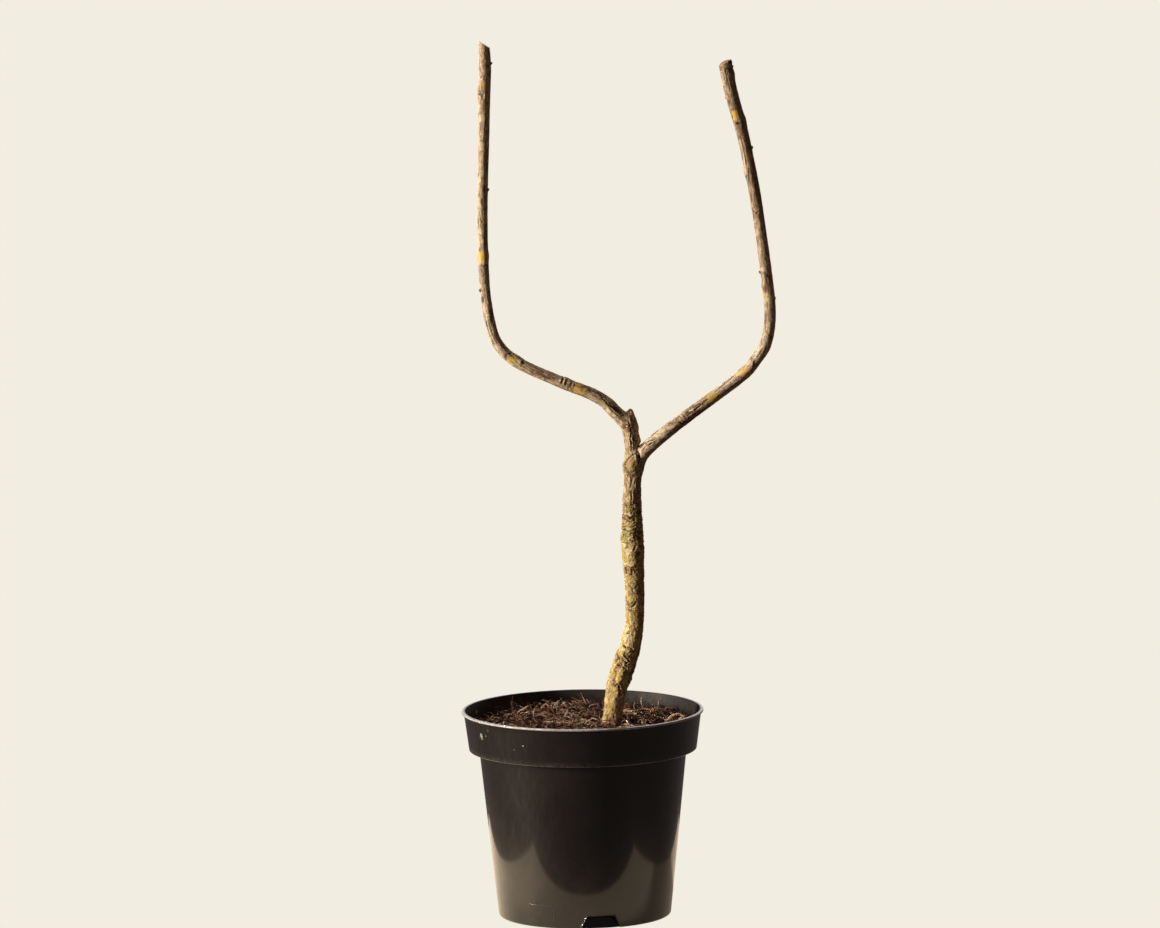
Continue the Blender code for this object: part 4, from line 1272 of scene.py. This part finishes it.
def build_tree():
    trunk = Limb(TRUNK_COURSE, TRUNK_SIDES, TRUNK_STEP, RIGHT, TRUNK_KNOTS, FOOT_DEPTH)
    left = Limb(LEFT_BOUGH_COURSE, BOUGH_SIDES, BOUGH_STEP, ABOVE, LEFT_BOUGH_KNOTS)
    right = Limb(RIGHT_BOUGH_COURSE, BOUGH_SIDES, BOUGH_STEP, ABOVE, RIGHT_BOUGH_KNOTS)
    roughen_trunk(trunk)
    for bough, seed, turn_x, outward_sign, amount in (
        (left, 100, -0.090, -1, 0.45),
        (right, 200, 0.205, 1, 0.20),
    ):
        sink_start(bough)
        roughen_bough(bough, seed)
        darken_arm_top(bough, turn_x, outward_sign, amount)
    for seed, limb, shades, rings, lines, marks in (
        (1, trunk, TRUNK_SHADES, TRUNK_RINGS, TRUNK_LINES, TRUNK_MARKS),
        (2, left, LEFT_BOUGH_SHADES, LEFT_BOUGH_RINGS, LEFT_BOUGH_LINES, LEFT_BOUGH_MARKS),
        (3, right, RIGHT_BOUGH_SHADES, RIGHT_BOUGH_RINGS, RIGHT_BOUGH_LINES, RIGHT_BOUGH_MARKS),
    ):
        limb.shade(shades)
        limb.ring(rings, 410 + seed)
        limb.crease(lines, 420 + seed)
        limb.mark(marks, 400 + seed)
    trunk.dashes(90, (0.0008, 0.0022), 0.0005, 0.0002)
    trunk.swell_into([left, right])
    for bough in (left, right):
        bough.dashes(170, (0.0005, 0.0014), 0.0004, 0.00018)
        bough.swell_into([trunk])
    left.shear_end(LEFT_TIP_CUT)
    right.shear_end(RIGHT_TIP_CUT)
    left_nodes = ("left_bough_arm", "left_bough_upright")
    right_nodes = ("right_bough_arm", "right_bough_upright")
    for name, limb, material, slot, nodes, dome, cut_face in (
        ("trunk", trunk, TRUNK_BARK, "trunk_bark", ("trunk",), 0.0016, {"rust": 0.8}),
        ("left_bough", left, BOUGH_BARK, "bough_bark", left_nodes, 0.0001, {"wood": 0.7}),
        ("right_bough", right, BOUGH_BARK, "bough_bark", right_nodes, 0.0018, RIGHT_CUT_FACE),
    ):
        name = f"{name}_rough_bark"
        mesh = limb.mesh(f"{name}_mesh", dome, {"young": 1, **cut_face})
        put_on(clean_object(name, mesh, material), slot, *nodes)
    put_on(bud_set("left_bough_buds", left, LEFT_BOUGH_BUDS), "bough_bark")
    put_on(bud_set("right_bough_buds", right, RIGHT_BOUGH_BUDS), "bough_bark")


# ---------------------------------------------------------------- pot


def rounded_profile(corners):
    """Rounds each (radius, height, rounding) corner of a profile with a small arc."""
    path = []
    for k, (r, z, rounding) in enumerate(corners):
        here = np.array([r, z])
        if rounding == 0 or k in (0, len(corners) - 1):
            path.append(here)
            continue
        back = unit(np.array(corners[k - 1][:2]) - here)
        onward = unit(np.array(corners[k + 1][:2]) - here)
        half = np.arccos(np.clip(back @ onward, -1, 1)) / 2
        reach = rounding / tan(half)
        centre = here + unit(back + onward) * rounding / sin(half)
        start, end = here + back * reach - centre, here + onward * reach - centre
        for step in range(FILLET_STEPS + 1):
            part = step / FILLET_STEPS
            path.append(centre + rounding * unit(start * (1 - part) + end * part))
    return np.array(path)


def spaced(path, spacing):
    """Adds points to the long straight runs of a path, so that relief and wear have room."""
    made = [path[0]]
    for before, after in zip(path[:-1], path[1:]):
        steps = max(1, int(np.linalg.norm(after - before) / spacing))
        made += [before + (after - before) * (k + 1) / steps for k in range(steps)]
    return np.array(made)


def pot_corners():
    ledge = BAND_BOTTOM + POT_WALL
    under_lip = POT_HEIGHT - LIP_THICKNESS
    return (
        (0, 0, 0),
        (BASE_RADIUS, 0, BASE_ROUNDING),
        (BODY_TOP_RADIUS, BAND_BOTTOM, INNER_ROUNDING),
        (BAND_BOTTOM_RADIUS, BAND_BOTTOM, EDGE_ROUNDING),
        (BAND_TOP_RADIUS, under_lip, LIP_ROOT_ROUNDING),
        (LIP_RADIUS, under_lip, EDGE_ROUNDING),
        (LIP_RADIUS, POT_HEIGHT, EDGE_ROUNDING),
        (BAND_TOP_RADIUS - POT_WALL, POT_HEIGHT, EDGE_ROUNDING),
        (BAND_BOTTOM_RADIUS - POT_WALL, ledge, EDGE_ROUNDING),
        (BODY_TOP_RADIUS - POT_WALL, ledge, EDGE_ROUNDING),
        (BASE_RADIUS - POT_WALL, POT_WALL, INNER_ROUNDING),
        (0, POT_WALL, 0),
    )


def turned(name, path):
    """Turns a profile that starts and ends on the axis about Z."""
    inner = path[1:-1]
    radius, height = inner.T[..., None, None]
    around = radius * spokes(X_AXIS, Y_AXIS, POT_SEGMENTS) + height * Z_AXIS
    points = np.vstack([around.reshape(-1, 3), path[0][1] * Z_AXIS, path[-1][1] * Z_AXIS])
    last = (len(inner) - 1) * POT_SEGMENTS
    start = fan(0, POT_SEGMENTS, len(points) - 2)[:, [1, 0, 2]]
    end = fan(last, POT_SEGMENTS, len(points) - 1)
    return mesh_from(name, points, tube_faces(len(inner), POT_SEGMENTS), start, end)


def channel_mesh(name, growth):
    """A bar with a trapezium section that lies along +X over the ground and out past the wall."""
    bottom, top = -CUT_BELOW_GROUND, CHANNEL_HEIGHT + growth
    low, high = CHANNEL_BOTTOM_WIDTH / 2 + growth, CHANNEL_TOP_WIDTH / 2 + growth
    ends = (CHANNEL_INNER_END - growth, BASE_RADIUS + CUTTER_OVERRUN)
    section = ((-low, bottom), (low, bottom), (high, top), (-high, top))
    points = [(x, y, z) for x in ends for y, z in section]
    return mesh_from(name, points, tube_faces(2, 4), flat_ends(2, 4))


def drain_mesh(name, reach):
    ring = DRAIN_RADIUS * spokes(X_AXIS, Y_AXIS, DRAIN_SIDES)
    ends = (CHANNEL_HEIGHT - POT_WALL, CHANNEL_HEIGHT + 2 * POT_WALL)
    points = np.vstack([ring + [reach, 0, z] for z in ends])
    return mesh_from(name, points, tube_faces(2, DRAIN_SIDES), flat_ends(2, DRAIN_SIDES))


def channel_angle(k):
    """The first channel opens at the front, a little to the right."""
    return POT_FRONT + CHANNEL_TURN + tau * k / CHANNEL_COUNT


def cut_all(obj, cutters, operation):
    """Applies the cutters as exact Booleans and removes them."""
    for cutter in cutters:
        modifier = obj.modifiers.new(cutter.name, "BOOLEAN")
        modifier.operation = operation
        modifier.solver = "EXACT"
        modifier.object = cutter
    depsgraph = bpy.context.evaluated_depsgraph_get()
    made = bpy.data.meshes.new_from_object(obj.evaluated_get(depsgraph))
    obj.modifiers.clear()
    obj.data = made
    for cutter in cutters:
        bpy.data.objects.remove(cutter)


def set_round(mesh, k):
    """An object of a mesh, turned to the place of a channel."""
    obj = link_object(mesh.name, mesh)
    obj.rotation_euler.z = channel_angle(k)
    return obj


def build_pot():
    profile = spaced(rounded_profile(pot_corners()), POT_SPACING)
    pot = link_object("pot_shell", turned("pot_shell", profile))
    roofs, cuts = [], []
    for k in range(CHANNEL_COUNT):
        roofs.append(set_round(channel_mesh(f"roof_{k}", POT_WALL), k))
        cuts.append(set_round(channel_mesh(f"notch_{k}", 0), k))
        for n, reach in enumerate(DRAIN_REACHES):
            cuts.append(set_round(drain_mesh(f"drain_{k}_{n}", reach), k))
    clip_to_inside(roofs)
    cut_all(pot, roofs, "UNION")
    cut_all(pot, cuts, "DIFFERENCE")
    mesh = pot.data
    mesh.materials.clear()
    mesh.materials.append(PLASTIC)
    mesh.shade_smooth()
    mesh.set_sharp_from_angle(angle=SHARP_ANGLE)
    wear_pot(mesh)
    put_on(pot, "pot_plastic", "pot")


def clip_to_inside(roofs):
    """Keeps each channel's roof within the wall's outer face."""
    inset = POT_WALL / 2
    room_profile = (
        (0, 0),
        (BASE_RADIUS - inset, 0),
        (BODY_TOP_RADIUS - inset, BAND_BOTTOM),
        (0, BAND_BOTTOM),
    )
    for roof in roofs:
        room = link_object(f"{roof.name}_room", turned("room", np.array(room_profile)))
        room.location.z = inset
        cut_all(roof, [room], "INTERSECT")


def wear_pot(mesh):
    """Where the plastic is rubbed pale on its edges, partly as painted highlight lines; the lip,
    which the material paints as a highlight; and the inside, greyed with dust and lighter to the
    left as painted light.
    """
    points = np.array([tuple(vertex.co) for vertex in mesh.vertices])
    radius, z = np.hypot(points[:, 0], points[:, 1]), points[:, 2]
    lip = smoothstep(LIP_WEAR_AND_HIGHLIGHT_WIDTH, 0, np.abs(radius - LIP_RADIUS)) * smoothstep(*LIP_WEAR_AND_HIGHLIGHT, z)
    band = smoothstep(BAND_WEAR_AND_HIGHLIGHT_WIDTH, 0, np.abs(z - BAND_BOTTOM))
    band *= radius > BAND_BOTTOM_RADIUS - BAND_WEAR_AND_HIGHLIGHT_WIDTH
    rubbed = 0.5 + 0.5 * fractal(points, (0.03, 0.03, 0.01), 501)
    heights = (0, BAND_BOTTOM, BAND_BOTTOM + 0.002, POT_HEIGHT)
    radii = (BASE_RADIUS, BODY_TOP_RADIUS, BAND_BOTTOM_RADIUS, BAND_TOP_RADIUS)
    depth = np.interp(z, heights, radii) - radius
    # Rubs on the lip and the band's lower edge, partly real wear and partly painted highlight lines
    add_values(mesh, "wear_and_highlight", np.clip(0.65 * lip * (0.5 + rubbed) + 0.35 * band * rubbed, 0, 1))
    # The lip alone, where the material paints its pale line as a highlight
    add_values(mesh, "rim", lip)
    add_values(mesh, "inner", smoothstep(0.0005, 0.0015, depth))


def wall_radius(z):
    """The outer face of the pot's plain wall at a height."""
    return BASE_RADIUS + z / BAND_BOTTOM * (BODY_TOP_RADIUS - BASE_RADIUS)


def bead(corners, turn, width, rise):
    """A thin raised bead on the wall through (sideways, height) corners, as points and faces."""
    path = spaced(np.array(corners), BEAD_SPACING)
    onward = unit(np.gradient(path, axis=0))
    beside = np.stack([-onward[:, 1], onward[:, 0]], axis=1)
    rings = []
    for sideways, height in BEAD_SECTION:
        flat = path + beside * sideways * width
        radius = wall_radius(flat[:, 1]) + height * rise
        angle = turn + flat[:, 0] / wall_radius(flat[:, 1])
        rings.append(np.stack([radius * np.cos(angle), radius * np.sin(angle), flat[:, 1]], axis=1))
    points = np.stack(rings, axis=1)
    tube = points.shape[:2]
    return points.reshape(-1, 3), tube_faces(*tube), flat_ends(*tube)


def build_moulded_lines():
    """The beads moulded on the wall: one round each notch, and a plain open rectangle in front."""
    low, high = CHANNEL_BOTTOM_WIDTH / 2 + BEAD_GAP, CHANNEL_TOP_WIDTH / 2 + BEAD_GAP
    foot, top = NOTCH_LINE_FOOT, CHANNEL_HEIGHT + BEAD_GAP
    notch = ((-low, foot), (-high, top), (high, top), (low, foot))
    panel = (
        (PANEL_LEFT, PANEL_FOOT),
        (PANEL_LEFT, PANEL_TOP),
        (PANEL_RIGHT, PANEL_TOP),
        (PANEL_RIGHT, PANEL_FOOT),
    )
    turns = [channel_angle(k) for k in range(CHANNEL_COUNT)]
    beads = [bead(notch, turn, NOTCH_LINE, NOTCH_RISE) for turn in turns]
    beads.append(bead(panel, POT_FRONT, PANEL_LINE, PANEL_RISE))
    mesh = mesh_from("moulded_lines", *joined(beads))
    # The beads take a faint share of the pale rubs, partly real wear and partly painted highlight
    for name, value in (("wear_and_highlight", 0.10), ("rim", 0), ("inner", 0)):
        add_values(mesh, name, np.full(len(mesh.vertices), value))
    put_on(clean_object("pot_moulded_lines", mesh, PLASTIC), "pot_plastic")


# ---------------------------------------------------------------- soil


def soil_height(x, y):
    """The soil's surface: level round the trunk, lower at the wall, heaped at the back right."""
    radius = np.hypot(x, y)
    points = np.stack([x, y, 0 * x], axis=-1)
    slope = SOIL_EDGE_DROP * smoothstep(0.070, SOIL_RADIUS, radius)
    lumps = 0.0043 * fractal(points, 0.018, 601, 3) + 0.0030 * fractal(points, 0.0060, 611, 3)
    heap = 0.0048 * smoothstep(0.02, 0.09, y) * smoothstep(-0.08, 0.07, x)
    heap *= smoothstep(SOIL_REACH, 0.09, radius)
    return SOIL_LEVEL - slope + lumps + heap


def build_soil_surface():
    radius = SOIL_RADIUS * np.linspace(1, 0, SOIL_RINGS + 1)[:-1] ** 0.8
    ring = spokes(X_AXIS, Y_AXIS, SOIL_SECTORS)
    top = radius[:, None, None] * ring
    top[..., 2] = soil_height(top[..., 0], top[..., 1])
    top[..., 2] += 0.0007 * fractal(top, 0.0018, 621, 2) + 0.0005 * noise(top, 0.0009, 631)
    skirt = top[:1] * [SKIRT_SHARE, SKIRT_SHARE, 0] + [0, 0, BAND_BOTTOM + 2 * POT_WALL]
    grid = np.vstack([skirt, top])
    points = np.vstack([grid.reshape(-1, 3), [0, 0, grid[-1, :, 2].mean()]])
    tube = grid.shape[:2]
    middle = fan((tube[0] - 1) * SOIL_SECTORS, SOIL_SECTORS, len(points) - 1)
    tone = 0.16 + 0.26 * fractal(points, 0.003, 641)
    faces = (tube_faces(*tube), middle, flat_ends(*tube)[:1])
    soil_piece("soil_surface", SOIL, tone, points, *faces, nodes=["potting_soil"])


def soil_piece(name, material, tone, points, *face_sets, nodes=(), smooth=True):
    """A piece of the soil, with one tone at each point or one for each of its bits."""
    mesh = mesh_from(name, points.reshape(-1, 3), *face_sets)
    tone = np.repeat(np.clip(tone, 0, 1), len(mesh.vertices) // len(tone))
    add_values(mesh, "tone", tone)
    put_on(clean_object(name, mesh, material, smooth), "soil", *nodes)


def strewn(name, material, tone, places, turns, bits, faces, smooth=True):
    """A piece of many turned bits, each about a place of its own."""
    points = places[:, None] + np.einsum("nij,npj->npi", turns, bits)
    count, points_each = bits.shape[:2]
    soil_piece(name, material, tone, points, repeated(faces, points_each, count), smooth=smooth)


def scatter(count, reach=SOIL_REACH):
    """Places on the soil, evenly spread and clear of the trunk."""
    radius = reach * np.sqrt(RNG.uniform(0, 1, 2 * count))
    angle = RNG.uniform(0, tau, 2 * count)
    x, y = radius * np.cos(angle), radius * np.sin(angle)
    foot_x, foot_y = MM * np.array(TRUNK_COURSE[0][:2])
    clear = np.hypot(x - foot_x, y - foot_y) > CLEAR_OF_TRUNK
    return x[clear][:count], y[clear][:count]


def random_turns(count):
    """Random rotation matrices, one for each bit."""
    turns = unit(RNG.normal(size=(count, 4)))
    crosses = np.cross(turns[:, None, 1:], np.eye(3)).transpose(0, 2, 1)
    return np.eye(3) + 2 * turns[:, :1, None] * crosses + 2 * crosses @ crosses


def points_and_faces(shape):
    points = np.array([tuple(vertex.co) for vertex in shape.verts])
    faces = np.array([[vertex.index for vertex in face.verts] for face in shape.faces])
    shape.free()
    return points, faces


def repeated(faces, points_each, count):
    starts = points_each * np.arange(count)[:, None, None]
    return (faces + starts).reshape(-1, faces.shape[1])


def build_lumps(name, count, divisions, smallest, growth, bias, sunk):
    """Lumps of peat and bark, most of them small."""
    shape = bmesh.new()
    bmesh.ops.create_icosphere(shape, subdivisions=divisions, radius=1)
    ball, faces = points_and_faces(shape)
    x, y = scatter(count, SOIL_REACH - smallest - growth)
    size = smallest + growth * RNG.uniform(0, 1, count) ** bias
    local = ball * RNG.uniform(0.55, 1.35, (count, 1, 3)) * size[:, None, None]
    seeds = RNG.uniform(0, 50, (count, 1, 3))
    local *= (1 + 0.42 * fractal(ball + seeds, 0.9, 651, divisions))[..., None]
    turns = random_turns(count)
    places = np.stack([x, y, soil_height(x, y) + sunk * size], axis=-1)
    strewn(name, SOIL, RNG.beta(1.5, 3.4, count), places, turns, local, faces)


def build_fibres(name, count, lengths, widths, curl, stand):
    """Coir fibres: arcs in planes that lean any way, from lying flat to standing."""
    x, y = (value[:, None] for value in scatter(count, SOIL_REACH - FIBRE_MARGIN))
    length = RNG.uniform(*lengths, count)[:, None]
    heading = RNG.uniform(0, tau, count)[:, None]
    lean = radians(90) * RNG.uniform(0, 1, count)[:, None] ** (1 / stand)
    start = RNG.uniform(0.3, 1.5, count)[:, None]
    bend = (RNG.uniform(0.4, 1, count) * curl)[:, None]
    part = np.linspace(0, 1, FIBRE_STEPS)[None, :]
    wiggle = 0.35 * np.sin(11 * part + RNG.uniform(0, tau, count)[:, None])
    turn = start - bend * part + wiggle
    onward = np.cumsum(np.cos(turn), axis=1) * length / FIBRE_STEPS
    rise = np.cumsum(np.sin(turn), axis=1) * length / FIBRE_STEPS
    beside = rise * np.cos(lean)
    px = x + onward * np.cos(heading) - beside * np.sin(heading)
    py = y + onward * np.sin(heading) + beside * np.cos(heading)
    keep = np.maximum(np.hypot(px, py) / SOIL_REACH, 1)
    px, py = px / keep, py / keep
    ground = soil_height(px, py) + FIBRE_LIFT
    pz = np.maximum(ground[:, :1] + rise * np.sin(lean), ground)
    path = np.stack([px, py, pz], axis=-1)
    thick = RNG.uniform(*widths, count)[:, None] * (1 - 0.75 * np.abs(2 * part - 0.8) ** 2 / 1.44)
    forward = unit(np.gradient(path, axis=1))
    across = unit(np.cross(forward, FIBRE_CROSS))
    ring = spokes(across, np.cross(across, forward), FIBRE_SIDES)
    points = path[:, :, None] + ring * thick[..., None, None]
    tube = (FIBRE_STEPS, FIBRE_SIDES)
    faces = [repeated(f(*tube), FIBRE_STEPS * FIBRE_SIDES, count) for f in (tube_faces, flat_ends)]
    region = 0.5 + 0.5 * fractal(path[:, 0], 0.03, 661, 2)
    tone = RNG.beta(0.45, 0.75, count) * (0.40 + 1.05 * region)
    soil_piece(name, FIBRE, tone, points, *faces)


def build_chips():
    """Flat chips of bark and wood."""
    count = CHIP_COUNT
    x, y = scatter(count, SOIL_REACH - CHIP_MARGIN)
    shape = bmesh.new()
    for k, j, i in np.ndindex(2, 3, 3):
        shape.verts.new((i - 1, j - 1, 2 * k - 1))
    hull = bmesh.ops.convex_hull(shape, input=shape.verts, use_existing_faces=False)
    bmesh.ops.delete(shape, geom=hull["geom_interior"], context="VERTS")
    bmesh.ops.triangulate(shape, faces=shape.faces)
    shape.verts.index_update()
    box, faces = points_and_faces(shape)
    long = RNG.uniform(0.0012, 0.0052, count)
    wide, thick = long * RNG.uniform(0.25, 0.7, count), RNG.uniform(0.0002, 0.0006, count)
    jag = 1 + 0.35 * RNG.uniform(-1, 1, (count, len(box), 1))
    local = box * np.stack([long, wide, thick], 1)[:, None] * jag
    heading = RNG.uniform(0, tau, count)
    pitch, roll = RNG.normal(0, 0.38, (count, 2)).T
    cosine, sine = np.cos(heading), np.sin(heading)
    across = unit(np.stack([cosine, sine, pitch], axis=-1))
    up = unit(np.stack([-pitch * cosine, roll - pitch * sine, np.ones(count)], axis=-1))
    beside = unit(np.cross(up, across))
    turns = np.stack([across, beside, np.cross(across, beside)], axis=-1)
    places = np.stack([x, y, soil_height(x, y) + CHIP_LIFT], axis=-1)
    tone = RNG.beta(1.3, 1.6, count)
    strewn("soil_chips", CHIP, tone, places, turns, local, faces, smooth=False)


def build_debris():
    """A few larger slivers of wood and bark that lie on the soil."""
    tube = (DEBRIS_STEPS, DEBRIS_SIDES)
    taper = np.sqrt(1 - (2 * np.linspace(0.02, 0.98, DEBRIS_STEPS) - 1) ** 4)
    parts = []
    for path, half_width, half_thickness, _ in DEBRIS:
        path = MM * np.array(path)
        where = np.linspace(0, len(path) - 1, DEBRIS_STEPS)
        middle = np.stack([np.interp(where, np.arange(len(path)), c) for c in path.T], axis=1)
        onward = unit(np.gradient(middle, axis=0))
        beside = unit(np.cross(onward, Z_AXIS))
        over = np.cross(beside, onward) * (MM * half_thickness * taper)[:, None]
        ragged = 1 + 0.3 * fractal(middle, 0.003, 671, 2)
        beside *= (MM * half_width * taper * ragged)[:, None]
        points = middle[:, None] + spokes(beside, over, DEBRIS_SIDES)
        parts.append((points.reshape(-1, 3), tube_faces(*tube), flat_ends(*tube)))
    tone = np.array([row[-1] for row in DEBRIS])
    soil_piece("soil_debris", CHIP, tone, *joined(parts))


# ---------------------------------------------------------------- stage


def glowing(name, colour):
    s = Shader(name, 1.0, 0.0)
    s.finish("Base Color", (0, 0, 0))
    s.finish("Emission Color", colour)
    s.finish("Emission Strength", 1.0)
    return s


def sunlit_board():
    """Brightest towards the key light, with the pot's own soft shadow across it."""
    s = glowing("board_glow", (1.0, 0.79, 0.56))
    where = s.coordinates()
    bright = s.range(s.along("X", where), -0.28, -0.02, BOARD_STRENGTH * 1.8, BOARD_STRENGTH)
    away = unit(np.array([-KEY_AT[0], -KEY_AT[1], 0]))
    beyond = s.vectors("DOT_PRODUCT", where, tuple(away), "Value")
    beside = s.vectors("DOT_PRODUCT", where, (-away[1], away[0], 0), "Value")
    clear_aside = s.range(s.maths("ABSOLUTE", beside), 0.080, 0.135)
    lit = s.maths("MAXIMUM", clear_aside, s.range(beyond, 0.03, -0.03))
    s.finish("Emission Strength", s.maths("MULTIPLY", bright, s.range(lit, 0, 1, 0.34, 1.0)))
    return s


def flat_stage(name, outline, z, shader, camera, glossy):
    """A glowing flat sheet on the floor that only camera rays or only reflections see."""
    points = [(x, y, z) for x, y in outline]
    obj = clean_object(name, mesh_from(name, points, [range(len(points))]), shader.material, False)
    obj.visible_camera = camera
    obj.visible_glossy = glossy
    obj.visible_diffuse = False
    obj.visible_shadow = False


def rectangle(low, high):
    return [low, (high[0], low[1]), high, (low[0], high[1])]


def build_stage():
    """A pale floor, and on it a sunlit board that shows only as the sheen low on the pot."""
    pale = glowing("pale_floor", PALE_CREAM)
    flat_stage("pale_floor", rectangle((-30, -30), (30, 45)), 0, pale, True, False)
    board = rectangle(BOARD_LOW, BOARD_HIGH)
    flat_stage("board_glow", board, BOARD_HEIGHT, sunlit_board(), False, True)
    dark = glowing("shade_under_pot", (0.006, 0.004, 0.004))
    turns = [tau * k / SHADE_SIDES for k in range(SHADE_SIDES)]
    ring = [(SHADE_RADIUS * cos(turn), SHADE_RADIUS * sin(turn)) for turn in turns]
    flat_stage("shade_under_pot", ring, SHADE_HEIGHT, dark, True, True)


def area_light(name, at, towards, size, power, colour):
    data = bpy.data.lights.new(name, "AREA")
    data.shape = "RECTANGLE"
    data.size, data.size_y = size
    data.energy = power
    data.color = colour
    obj = link_object(name, data)
    obj.location = at
    obj.rotation_euler = (Vector(towards) - Vector(at)).to_track_quat("-Z", "Y").to_euler()
    obj.visible_camera = False


def build_lights():
    area_light("key", KEY_AT, (0.03, 0, 0.5), (0.5, 0.9), 320, (1.0, 0.90, 0.74))
    area_light("front_fill", (-1.5, -5.0, 2.6), (0, 0, 0.5), (3.0, 2.0), 12, (1.0, 0.80, 0.60))
    area_light("back_fill", (2.6, 3.4, 1.2), (0.03, 0, 0.4), (1.2, 1.6), 9, (1.0, 0.86, 0.72))
    area_light("overhead", (-1.0, 0.5, 3.0), (0.03, 0, 0.3), (0.3, 0.3), 44, (1.0, 0.93, 0.83))
    world = bpy.data.worlds.new("studio")
    world.use_nodes = True
    sky = Nodes(world.node_tree)
    path = sky.node("ShaderNodeLightPath")
    shader = sky.background((1.0, 0.66, 0.48), 0.050)
    shader = sky.choose(path.outputs["Is Glossy Ray"], shader, reflected_room(sky))
    camera_sees = sky.background(PALE_CREAM, 1.0)
    shader = sky.choose(path.outputs["Is Camera Ray"], shader, camera_sees)
    sky.feed(sky.tree.nodes["World Output"].inputs["Surface"], shader)
    bpy.context.scene.world = world


def reflected_room(sky):
    """What glossy surfaces mirror: a dim warm room, and a bright window low behind the tree."""
    window = tuple(unit(np.array(WINDOW_TOWARDS)))
    facing = sky.vectors("DOT_PRODUCT", sky.coordinates("Generated"), window, "Value")
    limits = {"Value": facing, "From Min": 0.93, "From Max": 0.98}
    inside = sky.node("ShaderNodeMapRange", limits).outputs["Result"]
    room = sky.background((1.0, 0.82, 0.76), 0.085)
    return sky.choose(inside, room, sky.background((1.0, 0.97, 0.98), WINDOW_STRENGTH))


def build_camera():
    level = sqrt(1 - CAMERA_DOWN**2)
    right, up = Vector((1, 0, 0)), Vector((0, CAMERA_DOWN, level))
    forward = Vector((0, level, -CAMERA_DOWN))
    rolled_right = right * cos(CAMERA_ROLL) - up * sin(CAMERA_ROLL)
    rolled_up = right * sin(CAMERA_ROLL) + up * cos(CAMERA_ROLL)
    data = bpy.data.cameras.new("camera")
    data.lens, data.sensor_width = CAMERA_LENS, SENSOR_WIDTH
    data.sensor_fit = "HORIZONTAL"
    data.clip_end = 80
    camera = link_object("camera", data)
    turn = Matrix((rolled_right, rolled_up, -forward)).transposed()
    camera.matrix_world = Matrix.Translation(CAMERA_AT) @ turn.to_4x4()
    bpy.context.scene.camera = camera


TRUNK_BARK = bark_material("trunk_bark")
BOUGH_BARK = bark_material("bough_bark")
BUD = bud_material()
PLASTIC = plastic_material()
SOIL = soil_material("peat_and_coir", 0.95, *SOIL_COLOURS)
FIBRE = soil_material("coir_fibre", 0.60, *FIBRE_COLOURS)
CHIP = soil_material("wood_chips", 0.60, *CHIP_COLOURS)

bpy.context.scene.view_settings.view_transform = "Standard"
build_camera()
build_stage()
build_lights()
build_tree()
build_pot()
build_moulded_lines()
build_soil_surface()
build_lumps("soil_crumbs", 900, 2, 0.0006, 0.0020, 2.5, 0.45)
build_lumps("soil_clumps", 150, 3, 0.0022, 0.0030, 1.5, 0.15)
build_fibres("soil_short_fibres", 1500, (0.004, 0.014), (0.00028, 0.00058), 2.0, 1.2)
build_fibres("soil_long_fibres", 1500, (0.012, 0.030), (0.00026, 0.00056), 3.0, 1.8)
build_fibres("soil_curls", 600, (0.012, 0.030), (0.00045, 0.00100), 4.2, 2.4)
build_fibres("soil_standing_fibres", 420, (0.008, 0.024), (0.00024, 0.00044), 0.8, 6.0)
build_chips()
build_debris()
